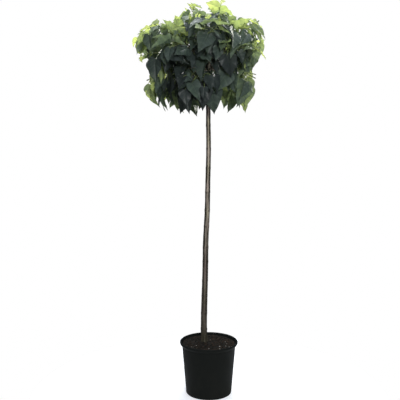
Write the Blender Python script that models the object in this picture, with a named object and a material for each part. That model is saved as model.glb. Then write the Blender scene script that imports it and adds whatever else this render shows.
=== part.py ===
"""A ball catalpa, grafted on a tall bare stem and grown in a black nursery pot.

Metres, +Z up. The origin is the middle of the pot's flat underside. The photograph looks along +Y, so +X is
its right. Each shoot of the crown is a bare bough from the graft knuckle and, 0.3 mm past the bough's tip, a
mass of foliage: a leafy stem with twigs, and heart-shaped leaves on long stalks. One seeded rule grows the
leaves. It tries each leaf in a few positions, and leaves out one that would touch another solid or leave the
crown's outline.
"""

import math
import random
from types import SimpleNamespace

import bmesh
import bpy
from mathutils import Matrix, Vector
from mathutils.bvhtree import BVHTree

GAP = 0.0003  # between solids that meet
FACET_GAP = 1.2 * GAP  # between faceted rings, measured at their corners
UP = Vector((0, 0, 1))

# Pot
POT_HEIGHT = 0.298
RIM_RADIUS = 0.165
LIP_HEIGHT = 0.023
SHOULDER_RADIUS = 0.1515  # the body, just under the lip
FOOT_RADIUS = 0.1300
FOOT_ROUNDING = 0.011
POT_WALL = 0.003
POT_FLOOR = 0.0038
POT_SEGMENTS = 36
DRAIN_HOLES = 6
DRAIN_RADIUS = 0.0055
DRAIN_CIRCLE = 0.092
DRAIN_SIDES = 8

# Soil
SOIL_EDGE_HEIGHT = 0.285
SOIL_SEAT_HEIGHT = 0.294  # the flat under the stem, at the top of the mound
SOIL_SEAT_RADIUS = 0.034
SOIL_ROUGHNESS = 0.0022
SOIL_RINGS = 3

# Trunk, as (height, x, y) along its gentle lean
TRUNK_COURSE = (
    (0.294, -0.0272, 0.0150),
    (0.400, -0.0278, 0.0140),
    (0.540, -0.0248, 0.0110),
    (0.700, -0.0205, 0.0100),
    (0.860, -0.0180, 0.0060),
    (0.950, -0.0142, 0.0030),
    (1.040, -0.0098, 0.0030),
    (1.200, -0.0064, 0.0050),
    (1.400, -0.0026, 0.0040),
    (1.560, -0.0046, 0.0010),
    (1.890, -0.0050, 0.0000),
)
TRUNK_FOOT_RADIUS = 0.0182
TRUNK_NECK_RADIUS = 0.0126
TRUNK_NECK_HEIGHT = 1.506  # above this the trunk keeps its thickness
TRUNK_FLARE = 0.0038
TRUNK_FLARE_HEIGHT = 0.016
TRUNK_FLARE_RINGS = (0, 0.008, 0.022, 0.050)  # above the soil
TRUNK_NECK_RINGS = (1.700, 1.800)
TRUNK_SIDES = 10
KNUCKLE_HEIGHT = 1.850
KNUCKLE_RADIUS = 0.027
KNUCKLE_HALF_HEIGHT = 0.043
KNUCKLE_RINGS = (-0.80, -0.45, 0, 0.45, 0.80, 0.96)  # as shares of its half height

# Shoots: name, bearing in degrees from +X towards +Y, and how far out and up from the knuckle the stem ends
SHOOTS = (
    ("crest_left", 214, 0.096, 0.284),
    ("crest_right", 8, 0.045, 0.306),
    ("crest_back", 108, 0.130, 0.245),
    ("crest_front", 290, 0.115, 0.232),
    ("upper_left", 158, 0.195, 0.236),
    ("high_left", 193, 0.302, 0.200),
    ("left", 172, 0.374, 0.140),
    ("mid_left", 194, 0.350, 0.040),
    ("high_right", 342, 0.280, 0.212),
    ("right", 8, 0.292, 0.090),
    ("front_left", 231, 0.285, 0.085),
    ("front", 263, 0.265, 0.150),
    ("front_right", 302, 0.280, 0.060),
    ("back_left", 136, 0.290, 0.130),
    ("back", 92, 0.280, 0.145),
    ("back_right", 48, 0.275, 0.105),
    ("low_left", 184, 0.335, -0.095),
    ("low_front", 250, 0.240, -0.115),
    ("low_right", 334, 0.275, -0.090),
    ("low_back_right", 28, 0.250, -0.108),
    ("low_back", 84, 0.255, -0.065),
    ("low_back_left", 143, 0.290, -0.112),
)
SHOOT_ARCH = math.radians(20)  # how much steeper a level shoot leaves the knuckle than its chord
SHOOT_ROOT_RADIUS = 0.013
SHOOT_ROOT_LIFT = 0.16  # a shoot starts higher on the knuckle by this share of how far up it ends,
SHOOT_LEVEL = 0.10  # counted from this one, which starts at the knuckle's middle
BOUGH_LENGTH = 0.080
BOUGH_RADII = (0.0060, 0.0046)
BOUGH_SIDES = 5
LEAFY_RADII = (0.0044, 0.0026)
LEAFY_SIDES = 4
TWIG_RADII = (0.0028, 0.0022)
TWIG_SIDES = 3
TWIG_LENGTH = 0.090
TWIG_ANGLE = math.radians(48)
TWIG_RISE = 0.12
TWIG_ROOTS = (0.30, 0.56)  # of the leafy stem
INTERNODE = 0.062
FIRST_NODES = (0.028, 0.036)  # past the start of a leafy stem and of a twig
LAST_NODE = 0.006  # before the end

# Crown outline, as (height, x of its middle, radius)
CROWN_OUTLINE = (
    (1.546, -0.020, 0.130),
    (1.580, 0.000, 0.235),
    (1.615, -0.020, 0.290),
    (1.655, -0.047, 0.320),
    (1.740, -0.045, 0.292),
    (1.790, -0.043, 0.285),
    (1.824, -0.060, 0.310),
    (1.867, -0.045, 0.356),
    (1.910, -0.050, 0.362),
    (1.950, -0.070, 0.386),
    (2.000, -0.046, 0.366),
    (2.060, -0.024, 0.300),
    (2.082, -0.022, 0.250),
    (2.120, -0.015, 0.120),
    (2.165, -0.022, 0.114),
    (2.186, 0.015, 0.080),
)
CROWN_X = -0.045
DOME_HEIGHT = 1.800  # leaves face along the dome's normal above this, and straight out below it
DOME_RADII = (0.37, 0.34)

# Leaves
SEED = 37
WHORLS = (3, 2)  # leaves to a node on a leafy stem and on a twig
TWIG_SHARES = (0.35, 0.85)  # how far out along the shoot a twig's leaves count as
LENGTH_SPREAD = (0.88, 1.10)
STALK_SPREAD = (0.70, 1.20)
STALK_RADII = (0.0017, 0.0012)
STALK_SINKING = 0.3  # of its hang, in its first half
CREST_UP = 0.28  # the shoots that end this high have the smallest leaves
LEAF_THICKNESS = 0.012  # of its length
RIB_LEVELS = (0.3, -0.7)  # of its thickness, above and below its outline
BROADNESS = (0.86, 1.00)
HEADING_SPREAD = 0.45
ROLL_SPREAD = 0.30
SWING_SPREAD = 0.35  # how far a blade's tip swings aside, in the blade's own plane
ROOT_FACES = 4  # a leaf's first faces, round the foot of its stalk
CLEARANCE = 0.0011
TRIES = 16
TRY_SHRINKING = 0.968
TRY_STRAY = (0.35, 0.09)  # how far a leaf may turn about its stem at first, and how much more on each try

# Each kind of leaf: its lengths and its stalk's at the foot and at the tip of a shoot, how much the highest
# shoots shrink both, how many degrees its stalk leaves the stem at, how much it leans out of the crown and
# hangs, the droop of its blade in degrees at the crown's side and at its top, how far that strays, its fold
# and its arch, and half of its outline with its stations along the rib, all as shares of its length
KINDS = {
    "mature": SimpleNamespace(
        lengths=(0.178, 0.124),
        stalks=(0.130, 0.050),
        shrinking=(0.24, 0.35),
        spread=(44, 72),
        lean=0.35,
        hang=(0.55, 1.3),
        droop=(76, 30),
        droop_spread=0.24,
        fold=(0.10, 0.34),
        arch=(0.10, 0.28),
        outline=((0.17, -0.10), (0.41, 0.06), (0.38, 0.36), (0.16, 0.74)),
        stations=(0.32, 0.66),
    ),
    "young": SimpleNamespace(
        lengths=(0.088, 0.088),
        stalks=(0.022, 0.022),
        shrinking=(0, 0),
        spread=(30, 45),
        lean=0.15,
        hang=(0.1, 0.1),
        droop=(47, -45),
        droop_spread=0.36,
        fold=(0.42, 0.75),
        arch=(0.05, 0.16),
        outline=((0.26, -0.04), (0.34, 0.34)),
        stations=(0.42,),
    ),
}
KINDS["leading"] = SimpleNamespace(**vars(KINDS["young"]))  # the one leaf that carries on from a shoot's end
KINDS["leading"].lengths = (0.112, 0.112)
KINDS["leading"].spread = (5, 20)
KINDS["leading"].droop = (70, -62)
KINDS["leading"].droop_spread = 0.15

COLOURS = {
    "pot": ((0.012, 0.013, 0.013), 0.42),
    "soil": ((0.030, 0.024, 0.018), 0.95),
    "bark": ((0.150, 0.125, 0.095), 0.80),
    "foliage": ((0.060, 0.110, 0.035), 0.55),
}


def material(name):
    made = bpy.data.materials.get(name)
    if made is None:
        colour, roughness = COLOURS[name]
        made = bpy.data.materials.new(name)
        made.use_nodes = True
        shader = made.node_tree.nodes["Principled BSDF"]
        shader.inputs["Base Color"].default_value = (*colour, 1)
        shader.inputs["Roughness"].default_value = roughness
        shader.inputs["Metallic"].default_value = 0
    return made


def solid(name, points, faces, material_name, smooth=False):
    """An object from points and faces, with its normals turned out."""
    mesh = bpy.data.meshes.new(name)
    mesh.from_pydata([tuple(p) for p in points], [], faces)
    shape = bmesh.new()
    shape.from_mesh(mesh)
    bmesh.ops.recalc_face_normals(shape, faces=shape.faces)
    shape.to_mesh(mesh)
    shape.free()
    made = bpy.data.objects.new(name, mesh)
    bpy.context.scene.collection.objects.link(made)
    made.data.materials.append(material(material_name))
    if smooth:
        mesh.shade_smooth()
        mesh.set_sharp_from_angle(angle=math.radians(40))
    return made


def is_one_body(mesh):
    """True where every edge has two faces and every face can be reached from the first."""
    shape = bmesh.new()
    shape.from_mesh(mesh)
    closed = all(len(edge.link_faces) == 2 for edge in shape.edges)
    reached, waiting = set(), [shape.verts[:][0]]
    while waiting:
        vert = waiting.pop()
        if vert not in reached:
            reached.add(vert)
            waiting += [edge.other_vert(vert) for edge in vert.link_edges]
    whole = len(reached) == len(shape.verts)
    shape.free()
    return closed and whole


def apply_boolean(target, operation, operands):
    """Joins or cuts target with all of operands at once, applies the result and removes the operands. Where
    EXACT leaves an open or a parted mesh, MANIFOLD does it."""
    group = bpy.data.collections.new("operands")
    for obj in operands:
        bpy.context.scene.collection.objects.unlink(obj)
        group.objects.link(obj)
    modifier = target.modifiers.new("boolean", "BOOLEAN")
    modifier.operation = operation
    modifier.operand_type = "COLLECTION"
    modifier.collection = group
    for solver in ("EXACT", "MANIFOLD"):
        modifier.solver = solver
        result = bpy.data.meshes.new_from_object(target.evaluated_get(bpy.context.evaluated_depsgraph_get()))
        if is_one_body(result):
            break
    result.name = target.name
    target.modifiers.clear()
    target.data = result
    for obj in operands:
        bpy.data.objects.remove(obj)
    bpy.data.collections.remove(group)


def mix(pair, share):
    return pair[0] + (pair[1] - pair[0]) * share


def read_off(table, height):
    """The row of a table whose first column is a height, read between its rows."""
    if height <= table[0][0]:
        return table[0][1:]
    for low, high in zip(table, table[1:]):
        if height <= high[0]:
            share = (height - low[0]) / (high[0] - low[0])
            return tuple(mix((a, b), share) for a, b in zip(low[1:], high[1:]))
    return table[-1][1:]


def circle(centre, radius, sides):
    turns = [math.tau * k / sides for k in range(sides)]
    return [Vector(centre) + radius * Vector((math.cos(a), math.sin(a), 0)) for a in turns]


def skin(rings):
    """Points and faces of a closed skin over rings of equal count, with a flat cap at each end."""
    count = len(rings[0])
    points = [p for ring in rings for p in ring]
    faces = [tuple(range(count))]
    for row in range(len(rings) - 1):
        for k in range(count):
            a, b = row * count + k, row * count + (k + 1) % count
            faces.append((a, b, b + count, a + count))
    faces.append(tuple(range(len(points) - count, len(points))))
    return points, faces


def tube(course, radii, sides, first=None, last=None):
    """A tapering limb along the points of course, its rings carried along without twist. first and last are
    the directions that its end rings face, where they aren't those of its end pieces."""
    rings = []
    axis = None
    for k, point in enumerate(course):
        ahead = course[min(k + 1, len(course) - 1)] - course[max(k - 1, 0)]
        if k == 0 and first is not None:
            ahead = first
        if k == len(course) - 1 and last is not None:
            ahead = last
        ahead = ahead.normalized()
        if axis is None:
            axis = ahead.orthogonal()
        axis = (axis - axis.dot(ahead) * ahead).normalized()
        other = ahead.cross(axis)
        radius = mix(radii, k / (len(course) - 1))
        turns = [math.tau * n / sides for n in range(sides)]
        rings.append([point + radius * (math.cos(a) * axis + math.sin(a) * other) for a in turns])
    return skin(rings)


def pot():
    """A turned shell with a rolled lip, a rounded foot and drain holes round its flat floor."""
    top, lip = POT_HEIGHT, POT_HEIGHT - LIP_HEIGHT
    inner = SHOULDER_RADIUS - POT_WALL
    profile = (
        (FOOT_RADIUS - FOOT_ROUNDING, 0),
        (FOOT_RADIUS - FOOT_ROUNDING * 0.3, FOOT_ROUNDING * 0.3),
        (FOOT_RADIUS, FOOT_ROUNDING),
        (SHOULDER_RADIUS, lip),
        (SHOULDER_RADIUS + 0.0045, lip + 0.0015),
        (RIM_RADIUS, top - 0.0090),
        (RIM_RADIUS - 0.0012, top - 0.0022),
        (RIM_RADIUS - 0.0040, top),
        (RIM_RADIUS - 0.0085, top),
        (RIM_RADIUS - 0.0115, top - 0.0050),
        (inner, lip + 0.0010),
        (FOOT_RADIUS - POT_WALL, FOOT_ROUNDING),
        (FOOT_RADIUS - FOOT_ROUNDING, POT_FLOOR),
    )
    rings = [circle((0, 0, height), radius, POT_SEGMENTS) for radius, height in profile]
    shell = solid("pot", *skin(rings), "pot", smooth=True)
    drains = []
    for k in range(DRAIN_HOLES):
        turn = math.tau * (k + 0.5) / DRAIN_HOLES
        at = DRAIN_CIRCLE * Vector((math.cos(turn), math.sin(turn), 0))
        ends = (-POT_FLOOR, 2 * POT_FLOOR)
        rings = [circle(at + height * UP, DRAIN_RADIUS, DRAIN_SIDES) for height in ends]
        drains.append(solid(f"drain_{k}", *skin(rings), "pot"))
    apply_boolean(shell, "DIFFERENCE", drains)
    return shell


def soil():
    """The root ball that fills the pot, mounded up to a flat seat under the stem."""
    rng = random.Random(SEED)
    foot_x, foot_y = TRUNK_COURSE[0][1:]
    edge_radius = SHOULDER_RADIUS - POT_WALL - FACET_GAP
    foot_radius = FOOT_RADIUS - POT_WALL - FACET_GAP
    rings = [
        circle((0, 0, POT_FLOOR + GAP), FOOT_RADIUS - FOOT_ROUNDING - FACET_GAP, POT_SEGMENTS),
        circle((0, 0, FOOT_ROUNDING + GAP), foot_radius, POT_SEGMENTS),
        circle((0, 0, POT_HEIGHT - LIP_HEIGHT), edge_radius, POT_SEGMENTS),
    ]
    for k in range(SOIL_RINGS + 1):
        share = k / SOIL_RINGS
        middle = (foot_x * share, foot_y * share, mix((SOIL_EDGE_HEIGHT, SOIL_SEAT_HEIGHT), share))
        ring = circle(middle, mix((edge_radius, SOIL_SEAT_RADIUS), share), POT_SEGMENTS)
        if 0 < k < SOIL_RINGS:
            ring = [p + rng.uniform(-SOIL_ROUGHNESS, SOIL_ROUGHNESS) * UP for p in ring]
        rings.append(ring)
    return solid("soil", *skin(rings), "soil")


def trunk_centre(height):
    return Vector((*read_off(TRUNK_COURSE, height), height))


def trunk_radius(height):
    """The trunk's taper, with a flare at the foot and the graft knuckle at the head."""
    ground = TRUNK_COURSE[0][0]
    share = (height - ground) / (TRUNK_NECK_HEIGHT - ground)
    taper = mix((TRUNK_FOOT_RADIUS, TRUNK_NECK_RADIUS), min(1, share))
    flare = TRUNK_FLARE * math.exp((ground - height) / TRUNK_FLARE_HEIGHT)
    level = (height - KNUCKLE_HEIGHT) / KNUCKLE_HALF_HEIGHT
    knuckle = KNUCKLE_RADIUS * math.sqrt(max(0, 1 - level * level))
    return max(taper + flare, knuckle) if level < 0 else knuckle


def trunk_shape():
    """Points and faces of the trunk, from the flat cut on the soil to the top of the knuckle."""
    heights = [TRUNK_COURSE[0][0] + GAP + above for above in TRUNK_FLARE_RINGS]
    heights += [height for height, _, _ in TRUNK_COURSE[1:-1]]
    heights += TRUNK_NECK_RINGS
    heights += [KNUCKLE_HEIGHT + KNUCKLE_HALF_HEIGHT * level for level in KNUCKLE_RINGS]
    return skin([circle(trunk_centre(h), trunk_radius(h), TRUNK_SIDES) for h in heights])


def shoot_course(bearing, out, up, steps=24):
    """Points along one shoot, from inside the knuckle to the end of its leafy stem."""
    outward = Vector((math.cos(math.radians(bearing)), math.sin(math.radians(bearing)), 0))
    start = trunk_centre(KNUCKLE_HEIGHT + SHOOT_ROOT_LIFT * (up - SHOOT_LEVEL)) + SHOOT_ROOT_RADIUS * outward
    end = trunk_centre(KNUCKLE_HEIGHT) + out * outward + up * UP
    rise = math.atan2(end.z - start.z, out)
    rise += SHOOT_ARCH * math.cos(2 * rise)
    bend = start + 0.5 * (end - start).length * (math.cos(rise) * outward + math.sin(rise) * UP)
    shares = [k / steps for k in range(steps + 1)]
    return [start * (1 - t) ** 2 + bend * 2 * t * (1 - t) + end * t * t for t in shares]


def length_of(course):
    return sum((b - a).length for a, b in zip(course, course[1:]))


def place_on(course, distance):
    """The point at a distance along course, and the direction there."""
    for a, b in zip(course, course[1:]):
        step = (b - a).length
        if distance <= step or b is course[-1]:
            return a + (b - a) * (distance / step), (b - a) / step
        distance -= step


def stretch(course, start, end, pieces):
    """The stretch of course between two distances, as evenly spaced points."""
    return [place_on(course, mix((start, end), k / pieces))[0] for k in range(pieces + 1)]


def turned(direction, axis, angle):
    return Matrix.Rotation(angle, 3, axis) @ direction


def in_crown(point):
    """True inside the crown's outline."""
    if not CROWN_OUTLINE[0][0] <= point.z <= CROWN_OUTLINE[-1][0]:
        return False
    middle, radius = read_off(CROWN_OUTLINE, point.z)
    return math.hypot(point.x - middle, point.y) <= radius


def facing(point):
    """The way that a leaf at point looks: along the dome's normal, and straight out below the dome."""
    wide, high = DOME_RADII
    across = Vector((point.x - CROWN_X, point.y, 0)) / (wide * wide)
    above = max(0, point.z - DOME_HEIGHT) / (high * high)
    return (across + above * UP).normalized()


def leaf_at(rng, site, attempt):
    """One leaf in one position: its stalk's course, its blade's frame and its sizes. Later attempts are
    smaller and stray further."""
    kind = KINDS[site.kind]
    height = max(0, site.shoot.up) / CREST_UP
    length = mix(kind.lengths, site.share) * (1 - kind.shrinking[0] * height)
    length *= rng.uniform(*LENGTH_SPREAD) * TRY_SHRINKING ** attempt
    stalk = mix(kind.stalks, site.share) * (1 - kind.shrinking[1] * height) * rng.uniform(*STALK_SPREAD)
    spread = math.radians(rng.uniform(*kind.spread))
    stray = TRY_STRAY[0] + TRY_STRAY[1] * attempt
    around = turned(site.along.orthogonal().normalized(), site.along, site.turn + rng.uniform(-stray, stray))
    look = facing(site.point)
    leave = (math.cos(spread) * site.along + math.sin(spread) * around + kind.lean * look).normalized()
    hang = mix(kind.hang, rng.random() * (1 - look.z))
    bend = site.point + 0.5 * stalk * (leave - STALK_SINKING * hang * UP).normalized()
    base = bend + 0.5 * stalk * (leave - hang * UP).normalized()

    look = facing(base)
    radial = Vector((base.x - CROWN_X, base.y, 0)).normalized()
    heading = Vector((leave.x, leave.y, 0)) + radial
    heading = turned(heading.normalized(), UP, rng.gauss(0, HEADING_SPREAD))
    droop = math.radians(mix(kind.droop, look.z ** 1.5)) + rng.gauss(0, kind.droop_spread)
    along = math.cos(droop) * heading - math.sin(droop) * UP
    face = math.sin(droop) * heading + math.cos(droop) * UP
    face = turned(face, along, rng.gauss(0, ROLL_SPREAD))
    along = turned(along, face, rng.gauss(0, SWING_SPREAD))
    return SimpleNamespace(
        stalk=(site.point, bend, base),
        along=along,
        face=face,
        side=along.cross(face),
        length=length,
        broad=rng.uniform(*BROADNESS),
        fold=rng.uniform(*kind.fold),
        arch=rng.uniform(*kind.arch),
        kind=kind,
        shoot=site.shoot.name,
    )


def blade_point(leaf, across, along, lift=0.0):
    """A point of the blade, across and along it as shares of its length. The blade folds up from its rib, and
    its tip bends back."""
    rise = leaf.fold * abs(across) - leaf.arch * along * abs(along) + lift
    local = across * leaf.broad * leaf.side + along * leaf.along + rise * leaf.face
    return leaf.stalk[-1] + leaf.length * local


def web(rib, edge, heights, stations):
    """Triangles between a rib's points and an edge's points, where heights and stations say how far along the
    leaf they are. Both end in the tip."""
    faces = []
    at = 0
    for k in range(len(edge) - 1):
        while at + 1 < len(rib) and k > 0 and heights[k] > 0.5 * (stations[at] + stations[at + 1]):
            faces.append((rib[at], edge[k], rib[at + 1]))
            at += 1
        if edge[k + 1] != rib[at]:
            faces.append((rib[at], edge[k], edge[k + 1]))
    return faces


def leaf_shape(leaf, grow=0.0):
    """Points and faces of a leaf: a three-sided stalk that opens into a thin blade, thickest on its rib. grow
    fattens it all round."""
    thick = LEAF_THICKNESS + 2 * grow / leaf.length
    root, bend, base = leaf.stalk
    ways = ((bend - root).normalized(), (base - root).normalized(), leaf.along)
    radii = [radius + grow for radius in (STALK_RADII[0], mix(STALK_RADII, 0.5), STALK_RADII[1])]
    side, face = leaf.side, leaf.face
    rings = []
    for k, point in reversed(list(enumerate((root, bend, base)))):
        if k < 2:
            swing = ways[k + 1].rotation_difference(ways[k])
            side, face = swing @ side, swing @ face
        centre = point + 0.4 * radii[k] * face
        ring = [centre - radii[k] * side, centre + radii[k] * side, centre - 1.4 * radii[k] * face]
        rings.insert(0, ring)
    points = [p for ring in rings for p in ring]
    faces = [(0, 1, 2)]
    for row in (0, 3):
        for k in range(3):
            a, b = row + k, row + (k + 1) % 3
            faces.append((a, b, b + 3, a + 3))

    wider = 1 + grow / (0.3 * leaf.length)
    outline = [(x * wider, y * wider) for x, y in leaf.kind.outline]
    tip = len(points)
    points.append(blade_point(leaf, 0, wider))
    right = [7] + [len(points) + k for k in range(len(outline))] + [tip]
    points += [blade_point(leaf, x, y) for x, y in outline]
    left = [6] + [len(points) + k for k in range(len(outline))] + [tip]
    points += [blade_point(leaf, -x, y) for x, y in outline]
    upper = [len(points) + k for k in range(len(leaf.kind.stations))]
    points += [blade_point(leaf, 0, y, thick * RIB_LEVELS[0]) for y in leaf.kind.stations]
    lower = [len(points) + k for k in range(len(leaf.kind.stations))]
    points += [blade_point(leaf, 0, y, thick * RIB_LEVELS[1]) for y in leaf.kind.stations]
    heights = [0] + [y for x, y in outline] + [wider]
    for rib in (upper, lower):
        for edge in (right, left):
            faces += web(rib, edge, heights, leaf.kind.stations)
    faces += [(upper[0], 6, 7), (lower[0], 7, 8), (lower[0], 8, 6)]
    return points, faces


class Tested:
    """A placed piece: its box and its tree of faces, against which a new one is tested. fused is True for a
    stem, a twig and the root of a stalk, which the roots of the same shoot's stalks may enter."""

    def __init__(self, points, faces, shoot, fused=False):
        self.low = Vector([min(p[k] for p in points) for k in range(3)])
        self.high = Vector([max(p[k] for p in points) for k in range(3)])
        self.tree = BVHTree.FromPolygons(points, faces)
        self.shoot = shoot
        self.fused = fused

    def touches(self, other):
        for k in range(3):
            if self.low[k] > other.high[k] or other.low[k] > self.high[k]:
                return False
        return bool(self.tree.overlap(other.tree))


def leaf_fits(leaf, tested):
    """True where the leaf keeps inside the crown and clear of everything that it doesn't grow on."""
    points, faces = leaf_shape(leaf, CLEARANCE)
    if not all(in_crown(p) for p in points):
        return False
    whole = Tested(points, faces, leaf.shoot)
    beyond_root = Tested(points, faces[ROOT_FACES:], leaf.shoot)
    for other in tested:
        own = other.shoot == leaf.shoot and other.fused
        if (beyond_root if own else whole).touches(other):
            return False
    return True


def sites_of(rng, shoot, axes):
    """Where leaves may grow on a shoot's leafy stem and twigs: whorls along each, a young tuft at its end."""
    sites = []
    for order, course in enumerate(axes):
        on_twig = order > 0
        first, whorl = FIRST_NODES[on_twig], WHORLS[on_twig]
        length = length_of(course)
        nodes = max(1, int((length - first) / INTERNODE))
        phase = rng.uniform(0, math.tau)
        for node in range(nodes + 1):
            point, along = place_on(course, mix((first, length - LAST_NODE), node / nodes))
            for k in range(whorl):
                kind = "mature" if node < nodes else "young" if on_twig or k else "leading"
                share = mix(TWIG_SHARES, node / nodes) if on_twig else node / nodes
                turn = phase + math.pi * node / whorl + math.tau * k / whorl
                site = SimpleNamespace(
                    point=point, along=along, turn=turn, share=share, kind=kind, shoot=shoot
                )
                place_in_line = nodes - node + order * 0.5 - (kind == "leading")
                sites.append((place_in_line, rng.random(), site))
    return sites


def grow_crown():
    """Every shoot's bough, leafy stem and twigs, and every leaf that finds room."""
    rng = random.Random(SEED)
    shoots, tested, sites = [], [Tested(*trunk_shape(), None)], []
    for name, bearing, out, up in SHOOTS:
        course = shoot_course(bearing, out, up)
        total = length_of(course)
        bough = stretch(course, 0, BOUGH_LENGTH, 3)
        leafy = stretch(course, BOUGH_LENGTH, total, 4)
        joint = place_on(course, BOUGH_LENGTH)[1]
        leafy[0] += GAP * joint
        shoot = SimpleNamespace(name=name, up=up, bough=bough, leafy=leafy, joint=joint, twigs=[], leaves=[])
        shoots.append(shoot)
        tested.append(Tested(*tube(bough, BOUGH_RADII, BOUGH_SIDES), None))
        tested.append(Tested(*tube(leafy, LEAFY_RADII, LEAFY_SIDES), name, fused=True))
    for shoot in shoots:
        aside = 1 if rng.random() < 0.5 else -1
        for root_share in TWIG_ROOTS:
            root, along = place_on(shoot.leafy, length_of(shoot.leafy) * root_share)
            aside = -aside
            way = math.cos(TWIG_ANGLE) * along + math.sin(TWIG_ANGLE) * aside * along.cross(UP).normalized()
            way = (way + TWIG_RISE * UP).normalized()
            end = root + TWIG_LENGTH * rng.uniform(*LENGTH_SPREAD) * way
            twig = [root, root.lerp(end, 0.5) + TWIG_RADII[0] * UP, end]
            fat = Tested(*tube(twig, [r + CLEARANCE for r in TWIG_RADII], TWIG_SIDES), shoot.name)
            if any(fat.touches(other) for other in tested if other.shoot != shoot.name):
                continue
            shoot.twigs.append(twig)
            tested.append(Tested(*tube(twig, TWIG_RADII, TWIG_SIDES), shoot.name, fused=True))
        sites += sites_of(rng, shoot, [shoot.leafy] + shoot.twigs)
    for _, _, site in sorted(sites, key=lambda entry: entry[:2]):
        tries = (leaf_at(rng, site, attempt) for attempt in range(TRIES))
        leaf = next((leaf for leaf in tries if leaf_fits(leaf, tested)), None)
        if leaf is not None:
            site.shoot.leaves.append(leaf)
            points, faces = leaf_shape(leaf)
            tested.append(Tested(points, faces[:ROOT_FACES], leaf.shoot, fused=True))
            tested.append(Tested(points, faces[ROOT_FACES:], leaf.shoot))
    return shoots


def trunk():
    return solid("trunk", *trunk_shape(), "bark", smooth=True)


def bough(shoot, cutter_shape):
    """A bare limb whose foot follows the knuckle, one gap away from it."""
    course = tube(shoot.bough, BOUGH_RADII, BOUGH_SIDES, last=shoot.joint)
    limb = solid("bough_" + shoot.name, *course, "bark", smooth=True)
    apply_boolean(limb, "DIFFERENCE", [solid("knuckle_cutter", *cutter_shape, "bark")])
    return limb


def foliage(shoot):
    """A leafy stem with its twigs and leaves fused on."""
    stem = tube(shoot.leafy, LEAFY_RADII, LEAFY_SIDES, first=shoot.joint)
    mass = solid("foliage_" + shoot.name, *stem, "foliage")
    shapes = [tube(twig, TWIG_RADII, TWIG_SIDES) for twig in shoot.twigs]
    shapes += [leaf_shape(leaf) for leaf in shoot.leaves]
    apply_boolean(mass, "UNION", [solid(f"piece_{k}", *shape, "foliage") for k, shape in enumerate(shapes)])
    return mass


def knuckle_cutter_shape():
    """The trunk's own shape, a little more than one gap fatter all over."""
    points, faces = trunk_shape()
    fat = []
    for point in points:
        outward = point - trunk_centre(point.z)
        outward.z += 0.5 * max(0, point.z - KNUCKLE_HEIGHT)
        fat.append(point + 1.3 * GAP * outward.normalized())
    return fat, faces


def clear_scene():
    for obj in list(bpy.data.objects):
        bpy.data.objects.remove(obj)


def main():
    clear_scene()
    pot()
    soil()
    trunk()
    cutter_shape = knuckle_cutter_shape()
    for shoot in grow_crown():
        bough(shoot, cutter_shape)
        foliage(shoot)


main()
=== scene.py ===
"""The looks of a potted ball catalpa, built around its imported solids.

Metres, +Z up. The photograph looks along +Y, so +X is its right. The crown grows by the same seeded rule as
the solids do, so each large leaf lies where a solid leaf does. The rule then goes on to finer twigs and
smaller leaves, which keep clear of the large ones and inside the crown's outline. Every leaf is a fine mesh
in its own outline, with its veins in relief. The trunk and boughs have the relief of their bark, and the pot
and the soil are modelled finer than their solids.
"""

import math
import random
from collections import namedtuple
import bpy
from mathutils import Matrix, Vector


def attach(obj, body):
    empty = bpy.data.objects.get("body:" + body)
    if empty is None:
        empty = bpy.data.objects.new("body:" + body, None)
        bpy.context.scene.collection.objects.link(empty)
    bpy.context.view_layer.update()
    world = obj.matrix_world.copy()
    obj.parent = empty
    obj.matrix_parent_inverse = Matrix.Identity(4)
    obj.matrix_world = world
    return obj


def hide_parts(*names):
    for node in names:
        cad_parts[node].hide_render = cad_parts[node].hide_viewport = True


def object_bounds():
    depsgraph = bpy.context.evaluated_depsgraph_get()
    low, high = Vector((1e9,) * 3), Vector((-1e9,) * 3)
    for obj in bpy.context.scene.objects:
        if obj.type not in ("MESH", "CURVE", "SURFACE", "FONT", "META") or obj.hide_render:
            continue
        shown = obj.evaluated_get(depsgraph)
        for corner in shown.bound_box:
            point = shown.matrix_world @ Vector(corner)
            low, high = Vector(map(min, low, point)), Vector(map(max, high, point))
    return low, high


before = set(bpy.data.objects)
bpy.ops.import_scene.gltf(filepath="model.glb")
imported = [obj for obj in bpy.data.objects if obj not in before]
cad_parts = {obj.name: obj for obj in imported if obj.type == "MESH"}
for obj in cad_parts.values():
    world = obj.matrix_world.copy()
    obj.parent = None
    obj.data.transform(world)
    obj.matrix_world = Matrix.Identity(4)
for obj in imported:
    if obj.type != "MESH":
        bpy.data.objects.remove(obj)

from types import SimpleNamespace

import bmesh
import bpy
import numpy as np
from mathutils import Matrix, Vector, noise
from mathutils.bvhtree import BVHTree

UP = Vector((0, 0, 1))
cad_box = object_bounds()

# Trunk, as (height, x, y) along its gentle lean
TRUNK_COURSE = (
    (0.294, -0.0272, 0.0150),
    (0.400, -0.0278, 0.0140),
    (0.540, -0.0248, 0.0110),
    (0.700, -0.0205, 0.0100),
    (0.860, -0.0180, 0.0060),
    (0.950, -0.0142, 0.0030),
    (1.040, -0.0098, 0.0030),
    (1.200, -0.0064, 0.0050),
    (1.400, -0.0026, 0.0040),
    (1.560, -0.0046, 0.0010),
    (1.890, -0.0050, 0.0000),
)
TRUNK_GROUND = TRUNK_COURSE[0][0]
TRUNK_FOOT_RADIUS = 0.0182
TRUNK_NECK_RADIUS = 0.0126
TRUNK_NECK_HEIGHT = 1.506
TRUNK_FLARE = 0.0038
TRUNK_FLARE_HEIGHT = 0.016
TRUNK_FLARE_RINGS = (0, 0.008, 0.022, 0.050)
TRUNK_NECK_RINGS = (1.700, 1.800)
TRUNK_SIDES = 10
KNUCKLE_HEIGHT = 1.850
KNUCKLE_RADIUS = 0.027
KNUCKLE_HALF_HEIGHT = 0.043
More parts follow.
